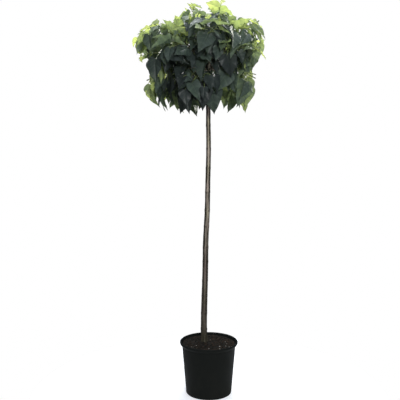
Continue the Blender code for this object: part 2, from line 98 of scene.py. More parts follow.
KNUCKLE_RINGS = (-0.80, -0.45, 0, 0.45, 0.80, 0.96)
GAP = 0.0003

# Shoots: name, bearing in degrees from +X towards +Y, how far out and up from the knuckle the stem ends,
# and how much painted light its leaves get: how much lighter or darker than elsewhere at their height they
# are painted
SHOOTS = (
    ("crest_left", 214, 0.096, 0.284, 0.14),
    ("crest_right", 8, 0.045, 0.306, 0.08),
    ("crest_back", 108, 0.130, 0.245, 0),
    ("crest_front", 290, 0.115, 0.232, 0),
    ("upper_left", 158, 0.195, 0.236, 0.14),
    ("high_left", 193, 0.302, 0.200, 0.08),
    ("left", 172, 0.374, 0.140, 0.10),
    ("mid_left", 194, 0.350, 0.040, 0),
    ("high_right", 342, 0.280, 0.212, 0.08),
    ("right", 8, 0.292, 0.090, 0.06),
    ("front_left", 231, 0.285, 0.085, 0),
    ("front", 263, 0.265, 0.150, 0),
    ("front_right", 302, 0.280, 0.060, 0),
    ("back_left", 136, 0.290, 0.130, 0),
    ("back", 92, 0.280, 0.145, 0),
    ("back_right", 48, 0.275, 0.105, 0.18),
    ("low_left", 184, 0.335, -0.095, 0.20),
    ("low_front", 250, 0.240, -0.115, -0.06),
    ("low_right", 334, 0.275, -0.090, 0.30),
    ("low_back_right", 28, 0.250, -0.108, 0.26),
    ("low_back", 84, 0.255, -0.065, 0),
    ("low_back_left", 143, 0.290, -0.112, 0.22),
)
SHOOT_PIECES = 24
SHOOT_ARCH = math.radians(20)
SHOOT_ROOT_RADIUS = 0.013
SHOOT_ROOT_LIFT = 0.16
SHOOT_LEVEL = 0.10
BOUGH_LENGTH = 0.080
BOUGH_RADII = (0.0060, 0.0046)
BOUGH_SIDES = 5
LEAFY_RADII = (0.0044, 0.0026)
LEAFY_SIDES = 4
TWIG_RADII = (0.0028, 0.0022)
TWIG_SIDES = 3
TWIG_LENGTH = 0.090
TWIG_ANGLE = math.radians(48)
TWIG_RISE = 0.12
TWIG_ROOTS = (0.30, 0.56)
INTERNODE = 0.062
FIRST_NODES = (0.028, 0.036)
LAST_NODE = 0.006

# Crown outline, as (height, x of its middle, radius)
CROWN_OUTLINE = (
    (1.546, -0.020, 0.130),
    (1.580, 0.000, 0.235),
    (1.615, -0.020, 0.290),
    (1.655, -0.047, 0.320),
    (1.740, -0.045, 0.292),
    (1.790, -0.043, 0.285),
    (1.824, -0.060, 0.310),
    (1.867, -0.045, 0.356),
    (1.910, -0.050, 0.362),
    (1.950, -0.070, 0.386),
    (2.000, -0.046, 0.366),
    (2.060, -0.024, 0.300),
    (2.082, -0.022, 0.250),
    (2.120, -0.015, 0.120),
    (2.165, -0.022, 0.114),
    (2.186, 0.015, 0.080),
)
CROWN_FOOT, CROWN_TOP = CROWN_OUTLINE[0][0], CROWN_OUTLINE[-1][0]
CROWN_X = -0.045
DOME_HEIGHT = 1.800
DOME_RADII = (0.37, 0.34)

# Leaves of the solids
SEED = 37
WHORLS = (3, 2)
TWIG_SHARES = (0.35, 0.85)
LENGTH_SPREAD = (0.88, 1.10)
STALK_SPREAD = (0.70, 1.20)
STALK_RADII = (0.0017, 0.0012)
STALK_SINKING = 0.3
CREST_UP = 0.28
LEAF_THICKNESS = 0.012
RIB_LEVELS = (0.3, -0.7)
BROADNESS = (0.86, 1.00)
HEADING_SPREAD = 0.45
ROLL_SPREAD = 0.30
SWING_SPREAD = 0.35
ROOT_FACES = 4
CLEARANCE = 0.0011
TRIES = 16
TRY_SHRINKING = 0.968
TRY_STRAY = (0.35, 0.09)

# Each kind of leaf: its lengths and its stalk's at the foot and at the tip of a shoot, how much the highest
# shoots shrink both, how many degrees its stalk leaves the stem at, how much it leans out of the crown and
# hangs, the droop of its blade in degrees at the crown's side and at its top, how far that strays, its fold
# and its arch, half of its outline with its stations along the rib, all as shares of its length, how many
# veins it has to each side, and how much lighter its youth makes it
MATURE = dict(
    lengths=(0.178, 0.124),
    stalks=(0.130, 0.050),
    shrinking=(0.24, 0.35),
    spread=(44, 72),
    lean=0.35,
    hang=(0.55, 1.3),
    droop=(76, 30),
    droop_spread=0.24,
    fold=(0.10, 0.34),
    arch=(0.10, 0.28),
    outline=((0.17, -0.10), (0.41, 0.06), (0.38, 0.36), (0.16, 0.74)),
    stations=(0.32, 0.66),
    veins=7,
    youth=0,
)
YOUNG = dict(
    lengths=(0.088, 0.088),
    stalks=(0.022, 0.022),
    shrinking=(0, 0),
    spread=(30, 45),
    lean=0.15,
    hang=(0.1, 0.1),
    droop=(47, -45),
    droop_spread=0.36,
    fold=(0.42, 0.75),
    arch=(0.05, 0.16),
    outline=((0.26, -0.04), (0.34, 0.34)),
    stations=(0.42,),
    veins=4,
    youth=0.22,
)
LEADING = dict(YOUNG, lengths=(0.112, 0.112), spread=(5, 20), droop=(70, -62), droop_spread=0.15)
SMALL = dict(MATURE, lengths=(0.116, 0.096), stalks=(0.080, 0.045), shrinking=(0.20, 0.30), youth=0.03)
TENDER = dict(YOUNG, lengths=(0.058, 0.058), stalks=(0.014, 0.014), youth=0.28)
LEAF_VALUES = {"mature": MATURE, "young": YOUNG, "leading": LEADING, "small": SMALL, "tender": TENDER}
KINDS = {name: SimpleNamespace(**values) for name, values in LEAF_VALUES.items()}

# Finer growth, which the solids leave out: the small leaves, and the tender ones in a tuft at a twig's end
FINER_SEED = 29
FINER_ROOTS = (0.10, 0.22, 0.40, 0.68, 0.84)  # of the leafy stem
FINER_TWIG_LENGTH = 0.060
FINER_TWIG_RADII = (0.0019, 0.0013)
FINER_INTERNODE = 0.026
FINER_TRIES = 12
FINER_STEM_SITES = 0.024  # between the small leaves on a leafy stem
TENDER_LEAVES = 3
FINER_CORNERS = ((0, 1), (0.4, 0.2), (-0.4, 0.2))  # of a leaf, kept in the CAD box

# Leaf surface, as shares of a leaf's length
TIP_NECK = (0.045, 0.90)  # where the drawn-out tip starts
MARGIN_PIECES = 24  # between two points of the outline
STATIONS_PER_VEIN = 4
VEIN_SLANT = 0.62  # how far a side vein runs forward for its way out
VEIN_CURVE = 1.25
ACROSS = (0, 0.045, 0.20, 0.40, 0.60, 0.80, 0.92, 1)
VEIN_REACH = 6  # how many strips out from the rib a vein shows
QUILTING = 0.022
RIB_DEPTH = 0.007
RIB_WIDTH = 0.05  # as a share of the way across
WAVES = (1.5, 3.5)
WAVE_HEIGHT = (0.026, 0.070)
TWIST = 0.38
EXTRA_FOLD = (0.0, 0.35)
EXTRA_ROLL = 0.20
MARGIN_CURL = (0.1, 0.9)
SIDE_BEND = 0.035

# Pot and soil, with the sizes of the solids
POT_HEIGHT = 0.298
RIM_RADIUS = 0.165
LIP_HEIGHT = 0.023
SHOULDER_RADIUS = 0.1515
FOOT_RADIUS = 0.1300
FOOT_ROUNDING = 0.011
POT_WALL = 0.003
POT_FLOOR = 0.0038
INNER_RADIUS = SHOULDER_RADIUS - POT_WALL
POT_ROUND = 144
DRAIN_HOLES = 6
DRAIN_RADIUS = 0.0055
DRAIN_CIRCLE = 0.092
ARC_PIECES = 5  # in each rounded corner
SHARP_ANGLE = math.radians(32)
POT_BLACK = (0.0068, 0.0077, 0.0068)
POT_DUST = (0.018, 0.017, 0.014)
SOIL_EDGE_HEIGHT = 0.285
SOIL_SEAT_HEIGHT = 0.294
SOIL_FINE_RINGS = 70
SOIL_SINKING = 0.001
CRUMB_EDGE = 0.006  # free of crumbs, along the pot's wall
CRUMB_FREE = 0.024  # free of crumbs, round the middle of the trunk's foot

# Bark, stems and grain. A layer of noise has a height, how fine it is across and along a stem, and a shift.
TRUNK_PIECES = 12  # between two points of its course
TRUNK_RINGS = 620
TRUNK_ROUND = 60
TRUNK_BURIED = 0.006
SCAR_HEIGHTS = (0.36, 1.76)
SCAR_SPACING = (0.075, 0.135)
SCAR_SIZE = (0.0050, 0.0042)
SCAR_REACH = 0.03
SCAR_LIP = 0.0009
SCAR_DEPTH = 0.0006
WHORL_RELIEF = 0.0007
CALLUS_RELIEF = 0.0035
ROOT_RELIEF = 0.0022
STRIP_RELIEF = 0.0005
STRIP_WIDTH = 0.0085  # of the bark's paler strips and darker furrows, round the stem and along it
STRIP_LENGTH = 0.16
STRIP_GRAIN = (
    (0.85, 1 / STRIP_WIDTH, 1 / STRIP_LENGTH, 0),
    (0.45, 2.2 / STRIP_WIDTH, 3 / STRIP_LENGTH, 7),
)
TRUNK_GRAIN = ((0.00030, 520, 26, 0), (0.00055, 34, 34, 0))
BOUGH_GRAIN = ((0.0005, 140, 140, 0), (0.0003, 400, 400, 0))
STEM_GRAIN = ((0.00022, 300, 300, 0),)
SOIL_GRAIN = ((0.0016, 55, 55, 0), (0.0013, 160, 160, 2), (0.0007, 420, 420, 4))
PAINTED_LIT_SIDE = (0.08, -1, 0)  # the way that the side of the bark with painted light looks: painted paler there
# how much paler the painted light makes that side
PAINTED_LIT_SIDE_TONE = 0.24
RIBS_TONE = 0.40
BARK_HUES = (  # olive and mauve
    (0.40, (1.00, 1.02, 0.88)),
    (0.50, (1.02, 1.00, 0.98)),
    (0.60, (1.06, 0.96, 1.00)),
)
STREAKS_SCALE = (1, 1, 0.10)
PORES_SCALE = (0.55, 0.55, 1.3)
PORE_COLOUR = (0.33, 0.29, 0.22)
SCAR_COLOUR = (0.022, 0.018, 0.014)
BOUGH_RINGS = 28
BOUGH_ROUND = 18
BOUGH_OVERLAP = 0.002
COLLAR = 0.0035  # how much thicker a bough is where it leaves the knuckle, and over what length
COLLAR_LENGTH = 0.012
NODE_SWELLING = 0.28  # of a leafy stem or twig, as a share, and how far it reaches
NODE_REACH = 0.004
WOODY_SHARE = 0.45  # of a leafy stem
FULL_STALK_LENGTH = 0.13  # of a leaf whose stalk has its full thickness

# Camera, at the photograph's viewing angle
CAMERA_PLACE = (-0.050, -3.610, 1.495)
CAMERA_TILT = math.radians(6.2)
LENS = 58.86

# Studio: the light's strength by how high it comes from, the floor and the lamps
SKY = (
    (0.00, (0.20, 0.20, 0.21)),
    (0.50, (0.17, 0.175, 0.19)),
    (0.75, (0.45, 0.48, 0.56)),
    (1.00, (0.86, 0.94, 1.07)),
)
FLOOR_RADIUS = 1.0
FLOOR_ROUND = 96
LAMPS = (
    ("top", "AREA", (0.2, 0.9, 4.2), (-0.05, 0, 1.9), 1.8, 125, (0.97, 1, 1)),
    ("front", "AREA", (0.5, -3.5, 2.4), (-0.05, 0, 1.35), 0.6, 86, (1, 1, 0.99)),
    ("back_left", "SPOT", (-1.9, 1.9, 3.0), (-0.05, 0, 1.90), 0.5, 420, (1, 0.98, 0.90)),
    ("back_right", "SPOT", (1.9, 1.7, 3.0), (-0.05, 0, 1.90), 0.5, 460, (1, 0.98, 0.90)),
)
SPOT_BEAM = math.radians(26)

# Painted light and shade on the leaves: how light they are painted by their height, then the painted light
# added for the crown's sides, at its foot and at its top, and for its lit lower edge
PAINTED_LIGHT_BY_HEIGHT = (
    (1.546, 0.09),
    (1.700, 0.13),
    (1.800, 0.22),
    (1.940, 0.42),
    (2.050, 0.49),
    (2.180, 0.58),
)
PAINTED_SIDE_LIGHT = (1.00, 0.48)
PAINTED_FRINGE_LIGHT = 0.34
FRINGE_HEIGHT = 0.12  # how far up the tips of the hanging edge with painted light reach
FRINGE_ASIDE = 0.4  # how far aside, as a share of the crown's radius, the painted light is full
TONE_SPREAD = 0.09
LIGHTER = {"blade": 0, "rib": 0.10, "vein": 0.065}

# Leaf tones, as (tone, colour), with painted shade and light: from the painted deep shade inside the crown
# to the painted light of the young leaves at its top
LEAF_COLOURS = (
    (0.00, 0.020, 0.026, 0.026),
    (0.30, 0.030, 0.042, 0.039),
    (0.50, 0.062, 0.090, 0.074),
    (0.70, 0.109, 0.151, 0.107),
    (0.88, 0.200, 0.260, 0.126),
    (1.00, 0.290, 0.348, 0.175),
)
TONES = 16
LEAF_ROUGHNESS = (0.46, 0.55)
THROUGH_GAINS = (1.7, 1.6, 0.9)  # how the light that comes through a leaf is coloured
THROUGH_SHARES = (0.25, 0.50)

Site = namedtuple("Site", "shoot kind point along share turn")


def mix(pair, share):
    return pair[0] + (pair[1] - pair[0]) * share


def read_off(table, height):
    """The row of a table whose first column is a height, read between its rows."""
    if height <= table[0][0]:
        return table[0][1:]
    for low, high in zip(table, table[1:]):
        if height <= high[0]:
            share = (height - low[0]) / (high[0] - low[0])
            return tuple(mix((a, b), share) for a, b in zip(low[1:], high[1:]))
    return table[-1][1:]


def circle(centre, radius, sides, right=Vector((1, 0, 0)), up=Vector((0, 1, 0))):
    """Points round a centre, from the way right on towards the way up."""
    turns = [math.tau * k / sides for k in range(sides)]
    return [Vector(centre) + radius * (math.cos(a) * right + math.sin(a) * up) for a in turns]


def bands(rings, count):
    """The quads between so many rings of count points each."""
    faces = []
    for first in range(0, (rings - 1) * count, count):
        for k in range(count):
            a, b = first + k, first + (k + 1) % count
            faces.append((a, b, b + count, a + count))
    return faces


def skin(rings):
    """Points and faces of a closed skin over rings of equal count, with a flat cap at each end."""
    count = len(rings[0])
    points = [p for ring in rings for p in ring]
    last_cap = range(len(points) - count, len(points))
    return points, [tuple(range(count)), *bands(len(rings), count), tuple(last_cap)]


def tube(course, radii, sides):
    """A tapering limb along the points of course, its rings carried along without twist. radii are those of
    its two ends, or one for each point."""
    rings = []
    axis = None
    for k, point in enumerate(course):
        ahead = course[min(k + 1, len(course) - 1)] - course[max(k - 1, 0)]
        ahead = ahead.normalized()
        if axis is None:
            axis = ahead.orthogonal()
        axis = (axis - axis.dot(ahead) * ahead).normalized()
        radius = mix(radii, k / (len(course) - 1)) if len(radii) == 2 else radii[k]
        rings.append(circle(point, radius, sides, axis, ahead.cross(axis)))
    return skin(rings)


def trunk_centre(height, course=TRUNK_COURSE):
    return Vector((*read_off(course, height), height))


def trunk_radius(height):
    """The trunk's taper, with a flare at the foot and the graft knuckle at the head."""
    share = (height - TRUNK_GROUND) / (TRUNK_NECK_HEIGHT - TRUNK_GROUND)
    taper = mix((TRUNK_FOOT_RADIUS, TRUNK_NECK_RADIUS), min(1, share))
    flare = TRUNK_FLARE * math.exp((TRUNK_GROUND - height) / TRUNK_FLARE_HEIGHT)
    level = (height - KNUCKLE_HEIGHT) / KNUCKLE_HALF_HEIGHT
    knuckle = KNUCKLE_RADIUS * math.sqrt(max(0, 1 - level * level))
    return max(taper + flare, knuckle) if level < 0 else knuckle


def trunk_shape():
    """Points and faces of the solid trunk, which the leaves keep clear of."""
    heights = [TRUNK_GROUND + GAP + above for above in TRUNK_FLARE_RINGS]
    heights += [height for height, _, _ in TRUNK_COURSE[1:-1]]
    heights += TRUNK_NECK_RINGS
    heights += [KNUCKLE_HEIGHT + KNUCKLE_HALF_HEIGHT * level for level in KNUCKLE_RINGS]
    return skin([circle(trunk_centre(h), trunk_radius(h), TRUNK_SIDES) for h in heights])


def arc(start, corner, end, pieces):
    """Points along a curve that leaves start towards corner and reaches end from there."""
    shares = [k / pieces for k in range(pieces + 1)]
    return [start * (1 - t) ** 2 + corner * 2 * t * (1 - t) + end * t * t for t in shares]


def shoot_course(bearing, out, up):
    """Points along one shoot, from inside the knuckle to the end of its leafy stem."""
    outward = Vector((math.cos(math.radians(bearing)), math.sin(math.radians(bearing)), 0))
    start = trunk_centre(KNUCKLE_HEIGHT + SHOOT_ROOT_LIFT * (up - SHOOT_LEVEL)) + SHOOT_ROOT_RADIUS * outward
    end = trunk_centre(KNUCKLE_HEIGHT) + out * outward + up * UP
    rise = math.atan2(end.z - start.z, out)
    rise += SHOOT_ARCH * math.cos(2 * rise)
    bend = start + 0.5 * (end - start).length * (math.cos(rise) * outward + math.sin(rise) * UP)
    return arc(start, bend, end, SHOOT_PIECES)


def length_of(course):
    return sum((b - a).length for a, b in zip(course, course[1:]))


def place_on(course, distance):
    """The point at a distance along course, and the direction there."""
    for a, b in zip(course, course[1:]):
        step = (b - a).length
        if distance <= step or b is course[-1]:
            return a + (b - a) * (distance / step), (b - a) / step
        distance -= step


def stretch(course, start, end, pieces):
    """The stretch of course between two distances, as evenly spaced points."""
    return [place_on(course, mix((start, end), k / pieces))[0] for k in range(pieces + 1)]


def turned(direction, axis, angle):
    return Matrix.Rotation(angle, 3, axis) @ direction


def in_crown(point):
    """True inside the crown's outline."""
    if not CROWN_FOOT <= point.z <= CROWN_TOP:
        return False
    middle, radius = read_off(CROWN_OUTLINE, point.z)
    return math.hypot(point.x - middle, point.y) <= radius


def facing(point):
    """The way that a leaf at point looks: along the dome's normal, and straight out below the dome."""
    wide, high = DOME_RADII
    across = Vector((point.x - CROWN_X, point.y, 0)) / (wide * wide)
    above = max(0, point.z - DOME_HEIGHT) / (high * high)
    return (across + above * UP).normalized()


def leaf_at(rng, site, attempt):
    """One leaf in one position: its stalk's course, its blade's frame and its sizes. Later attempts are
    smaller and stray further."""
    kind = KINDS[site.kind]
    height = max(0, site.shoot.up) / CREST_UP
    length = mix(kind.lengths, site.share) * (1 - kind.shrinking[0] * height)
    length *= rng.uniform(*LENGTH_SPREAD) * TRY_SHRINKING ** attempt
    stalk = mix(kind.stalks, site.share) * (1 - kind.shrinking[1] * height) * rng.uniform(*STALK_SPREAD)
    spread = math.radians(rng.uniform(*kind.spread))
    stray = TRY_STRAY[0] + TRY_STRAY[1] * attempt
    around = turned(site.along.orthogonal().normalized(), site.along, site.turn + rng.uniform(-stray, stray))
    look = facing(site.point)
    leave = (math.cos(spread) * site.along + math.sin(spread) * around + kind.lean * look).normalized()
    hang = mix(kind.hang, rng.random() * (1 - look.z))
    bend = site.point + 0.5 * stalk * (leave - STALK_SINKING * hang * UP).normalized()
    base = bend + 0.5 * stalk * (leave - hang * UP).normalized()

    look = facing(base)
    radial = Vector((base.x - CROWN_X, base.y, 0)).normalized()
    heading = Vector((leave.x, leave.y, 0)) + radial
    heading = turned(heading.normalized(), UP, rng.gauss(0, HEADING_SPREAD))
    droop = math.radians(mix(kind.droop, look.z ** 1.5)) + rng.gauss(0, kind.droop_spread)
    along = math.cos(droop) * heading - math.sin(droop) * UP
    face = math.sin(droop) * heading + math.cos(droop) * UP
    face = turned(face, along, rng.gauss(0, ROLL_SPREAD))
    along = turned(along, face, rng.gauss(0, SWING_SPREAD))
    return SimpleNamespace(
        stalk=(site.point, bend, base),
        along=along,
        face=face,
        side=along.cross(face),
        length=length,
        broad=rng.uniform(*BROADNESS),
        fold=rng.uniform(*kind.fold),
        arch=rng.uniform(*kind.arch),
        kind=kind,
        shoot=site.shoot.name,
    )


def blade_point(leaf, across, along, lift=0.0):
    """A point of the blade, across and along it as shares of its length. The blade folds up from its rib,
    and its tip bends back."""
    rise = leaf.fold * abs(across) - leaf.arch * along * abs(along) + lift
    local = across * leaf.broad * leaf.side + along * leaf.along + rise * leaf.face
    return leaf.stalk[-1] + leaf.length * local


def web(rib, edge, heights, stations):
    """Triangles between a rib's points and an edge's points. heights and stations say how far along the leaf
    the edge's and the rib's points are. Both end in the tip."""
    faces = []
    at = 0
    for k in range(len(edge) - 1):
        while at + 1 < len(rib) and k > 0 and heights[k] > 0.5 * (stations[at] + stations[at + 1]):
            faces.append((rib[at], edge[k], rib[at + 1]))
            at += 1
        if edge[k + 1] != rib[at]:
            faces.append((rib[at], edge[k], edge[k + 1]))
    return faces


def leaf_shape(leaf, grow=0.0):
    """Points and faces of a solid leaf: a three-sided stalk that opens into a thin blade, thickest on its
    rib. grow fattens it all round."""
    thick = LEAF_THICKNESS + 2 * grow / leaf.length
    wider = 1 + grow / (0.3 * leaf.length)
    root, bend, base = leaf.stalk
    ways = ((bend - root).normalized(), (base - root).normalized(), leaf.along)
    radii = [radius + grow for radius in (STALK_RADII[0], mix(STALK_RADII, 0.5), STALK_RADII[1])]
    side, face = leaf.side, leaf.face
    points = []
    for k, point in reversed(list(enumerate(leaf.stalk))):
        if k < 2:
            swing = ways[k + 1].rotation_difference(ways[k])
            side, face = swing @ side, swing @ face
        centre = point + 0.4 * radii[k] * face
        points[:0] = [centre - radii[k] * side, centre + radii[k] * side, centre - 1.4 * radii[k] * face]
    faces = [(0, 1, 2), *bands(3, 3)]

    def added(places):
        """Adds points of the blade, and gives their numbers."""
        points.extend(blade_point(leaf, *place) for place in places)
        return list(range(len(points) - len(places), len(points)))

    outline = [(x * wider, y * wider) for x, y in leaf.kind.outline]
    tip = added([(0, wider)])
    right = [7] + added(outline) + tip
    left = [6] + added([(-x, y) for x, y in outline]) + tip
    heights = [0] + [y for x, y in outline] + [wider]
    stations = leaf.kind.stations
    upper, lower = (added([(0, y, thick * level) for y in stations]) for level in RIB_LEVELS)
    for rib in (upper, lower):
        for edge in (right, left):
            faces += web(rib, edge, heights, stations)
    faces += [(upper[0], 6, 7), (lower[0], 7, 8), (lower[0], 8, 6)]
    return points, faces


class Tested:
    """A placed piece: its box and its tree of faces, against which a new one is tested. fused is True for a
    stem, a twig and the root of a stalk, which the roots of the same shoot's stalks may enter."""

    def __init__(self, points, faces, shoot, fused=False):
        self.low = Vector([min(p[k] for p in points) for k in range(3)])
        self.high = Vector([max(p[k] for p in points) for k in range(3)])
        self.tree = BVHTree.FromPolygons(points, faces)
        self.shoot = shoot
        self.fused = fused

    def touches(self, other):
        for k in range(3):
            if self.low[k] > other.high[k] or other.low[k] > self.high[k]:
                return False
        return bool(self.tree.overlap(other.tree))


def leaf_fits(leaf, tested):
    """True where the leaf keeps inside the crown and clear of everything that it doesn't grow on."""
    points, faces = leaf_shape(leaf, CLEARANCE)
    if not all(in_crown(p) for p in points):
        return False
    whole = Tested(points, faces, leaf.shoot)
    beyond_root = Tested(points, faces[ROOT_FACES:], leaf.shoot)
    for other in tested:
        own = other.shoot == leaf.shoot and other.fused
        if (beyond_root if own else whole).touches(other):
            return False
    return True


def sites_of(rng, shoot, axes):
    """Where leaves may grow on a shoot's leafy stem and twigs: whorls along each, a tuft at its end."""
    sites = []
    for order, course in enumerate(axes):
        on_twig = order > 0
        first, whorl = FIRST_NODES[on_twig], WHORLS[on_twig]
        length = length_of(course)
        nodes = max(1, int((length - first) / INTERNODE))
        phase = rng.uniform(0, math.tau)
        for node in range(nodes + 1):
            point, along = place_on(course, mix((first, length - LAST_NODE), node / nodes))
            for k in range(whorl):
                kind = "mature" if node < nodes else "young" if on_twig or k else "leading"
                share = mix(TWIG_SHARES, node / nodes) if on_twig else node / nodes
                turn = phase + math.pi * node / whorl + math.tau * k / whorl
                place_in_line = nodes - node + order * 0.5 - (kind == "leading")
                sites.append((place_in_line, rng.random(), Site(shoot, kind, point, along, share, turn)))
    return sites


def keep_leaf(site, leaf, tested):
    """Adds a leaf that has found its place to its shoot and to what is tested."""
    site.shoot.leaves.append(leaf)
    points, faces = leaf_shape(leaf)
    tested.append(Tested(points, faces[:ROOT_FACES], leaf.shoot, fused=True))
    tested.append(Tested(points, faces[ROOT_FACES:], leaf.shoot))


def twig_course(root, along, around, length, thick):
    """A short twig's course: it leaves a stem at root, between the ways along it and around, and bends."""
    way = (math.cos(TWIG_ANGLE) * along + math.sin(TWIG_ANGLE) * around + TWIG_RISE * UP).normalized()
    end = root + length * way
    return [root, root.lerp(end, 0.5) + thick * UP, end]


def grow_crown():
    """Every shoot's bough, leafy stem and twigs, and every leaf that finds room, as the solids have them."""
    rng = random.Random(SEED)
    shoots, tested, sites = [], [Tested(*trunk_shape(), None)], []
    # tone: the painted light or shade of the shoot's leaves
    for name, bearing, out, up, tone in SHOOTS:
        course = shoot_course(bearing, out, up)
        bough = stretch(course, 0, BOUGH_LENGTH, 3)
        leafy = stretch(course, BOUGH_LENGTH, length_of(course), 4)
        leafy[0] += GAP * place_on(course, BOUGH_LENGTH)[1]
        parts = {"course": course, "leafy": leafy, "twigs": [], "finer": [], "leaves": []}
        shoots.append(SimpleNamespace(name=name, up=up, tone=tone, **parts))
        tested.append(Tested(*tube(bough, BOUGH_RADII, BOUGH_SIDES), None))
        tested.append(Tested(*tube(leafy, LEAFY_RADII, LEAFY_SIDES), name, fused=True))
    for shoot in shoots:
        aside = 1 if rng.random() < 0.5 else -1
        for root_share in TWIG_ROOTS:
            root, along = place_on(shoot.leafy, length_of(shoot.leafy) * root_share)
            aside = -aside
            length = TWIG_LENGTH * rng.uniform(*LENGTH_SPREAD)
            twig = twig_course(root, along, aside * along.cross(UP).normalized(), length, TWIG_RADII[0])
            fat = Tested(*tube(twig, [r + CLEARANCE for r in TWIG_RADII], TWIG_SIDES), shoot.name)
            if any(fat.touches(other) for other in tested if other.shoot != shoot.name):
                continue
            shoot.twigs.append(twig)
            tested.append(Tested(*tube(twig, TWIG_RADII, TWIG_SIDES), shoot.name, fused=True))
        sites += sites_of(rng, shoot, [shoot.leafy] + shoot.twigs)
    for _, _, site in sorted(sites, key=lambda entry: entry[:2]):
        tries = (leaf_at(rng, site, attempt) for attempt in range(TRIES))
        leaf = next((leaf for leaf in tries if leaf_fits(leaf, tested)), None)
        if leaf is not None:
            keep_leaf(site, leaf, tested)
    return shoots, tested


def in_cad_box(point):
    return all(cad_box[0][k] <= point[k] <= cad_box[1][k] for k in range(3))


def finer_twig(rng, shoot, root_share, tested):
    """A short twig out of a leafy stem at a share of its length, or None where it finds no room."""
    root, along = place_on(shoot.leafy, length_of(shoot.leafy) * root_share)
    for _ in range(FINER_TRIES):
        around = turned(along.orthogonal().normalized(), along, rng.uniform(0, math.tau))
        length = FINER_TWIG_LENGTH * rng.uniform(*STALK_SPREAD)
        twig = twig_course(root, along, around, length, FINER_TWIG_RADII[0])
        shape = tube(twig, FINER_TWIG_RADII, TWIG_SIDES)
        beyond_root = Tested(shape[0], shape[1][1 + TWIG_SIDES:], shoot.name)
        if in_crown(twig[-1]) and not any(beyond_root.touches(other) for other in tested):
            tested.append(Tested(*shape, shoot.name, fused=True))
            return twig


def finer_sites(rng, shoot):
    """Where the finer leaves may grow: along the leafy stem and each twig, and in a finer twig's tuft."""
    sites = []
    length = length_of(shoot.leafy)
    places = int(length / FINER_STEM_SITES)
    for k in range(places):
        share = (k + 0.5) / places
        sites.append(("small", *place_on(shoot.leafy, length * share), share))
    for twig in shoot.twigs + shoot.finer:
        length = length_of(twig)
        places = max(1, int(length / FINER_INTERNODE))
        for k in range(places):
            sites += [("small", *place_on(twig, length * (k + 0.6) / places), 0.5)] * 2
    for twig in shoot.finer:
        end = place_on(twig, length_of(twig) - FINER_TWIG_RADII[1])
        sites += [("tender", *end, 1.0)] * TENDER_LEAVES
    return [Site(shoot, *site, rng.uniform(0, math.tau)) for site in sites]


def grow_finer(shoots, tested):
    """Carries every mass on to finer twigs and smaller leaves within the same reach."""
    rng = random.Random(FINER_SEED)
    sites = []
    for shoot in shoots:
        for root_share in FINER_ROOTS:
            twig = finer_twig(rng, shoot, root_share, tested)
            if twig is not None:
                shoot.finer.append(twig)
        sites += finer_sites(rng, shoot)
    rng.shuffle(sites)
    for site in sites:
        for attempt in range(FINER_TRIES):
            leaf = leaf_at(rng, site, attempt)
            inside = all(in_cad_box(blade_point(leaf, x, y)) for x, y in FINER_CORNERS)
            if inside and leaf_fits(leaf, tested):
                keep_leaf(site, leaf, tested)
                break


def smoothed(points, pieces):
    """A Catmull-Rom curve through points, with each of its stretches in so many pieces."""
    ends = [2 * points[0] - points[1], *points, 2 * points[-1] - points[-2]]
    fine = []
    for a, b, c, d in zip(ends, ends[1:], ends[2:], ends[3:]):
        square, cube = 2 * a - 5 * b + 4 * c - d, 3 * b - a - 3 * c + d
        for t in (k / pieces for k in range(pieces)):
            fine.append(0.5 * (2 * b + (c - a) * t + square * t * t + cube * t ** 3))
    return fine + [points[-1]]


def leaf_pattern(outline, veins):
    """A flat leaf as a net whose rows follow its side veins: each point's place, how far across it lies
    between rib and margin, and its row, with its faces and what each of them shows: rib, vein or blade."""
    stations = veins * STATIONS_PER_VEIN
    edge = smoothed([Vector(p) for p in ((0, 0), *outline, TIP_NECK, (0, 1))], MARGIN_PIECES)
    margin = stretch(edge, 0, length_of(edge), stations)
    places, faces, along = {}, [], []

    def point(x, y, across, row):
        key = (round(x, 5), round(y, 5))
        return places.setdefault(key, (len(places), x, y, across, row))[0]

    for side in (1, -1):
        rows = []
        for row, (x, y) in enumerate(margin):
            rib = max(0, y - VEIN_SLANT * x)
            rows.append([point(side * x * s, rib + (y - rib) * s ** VEIN_CURVE, s, row) for s in ACROSS])
        for row, (low, high) in enumerate(zip(rows, rows[1:])):
            for k in range(len(ACROSS) - 1):
                ring = [low[k], low[k + 1], high[k + 1], high[k]][::side]
                ring = [v for n, v in enumerate(ring) if v != ring[n - 1]]
                if len(set(ring)) > 2:
                    faces.append(tuple(ring))
                    on_vein = row % STATIONS_PER_VEIN == 0 and 0 < row and k < VEIN_REACH
                    along.append("rib" if k == 0 else "vein" if on_vein else "blade")
    numbers = np.array([place[1:] for place in places.values()])
    return SimpleNamespace(places=numbers, faces=faces, along=along, stations=stations)


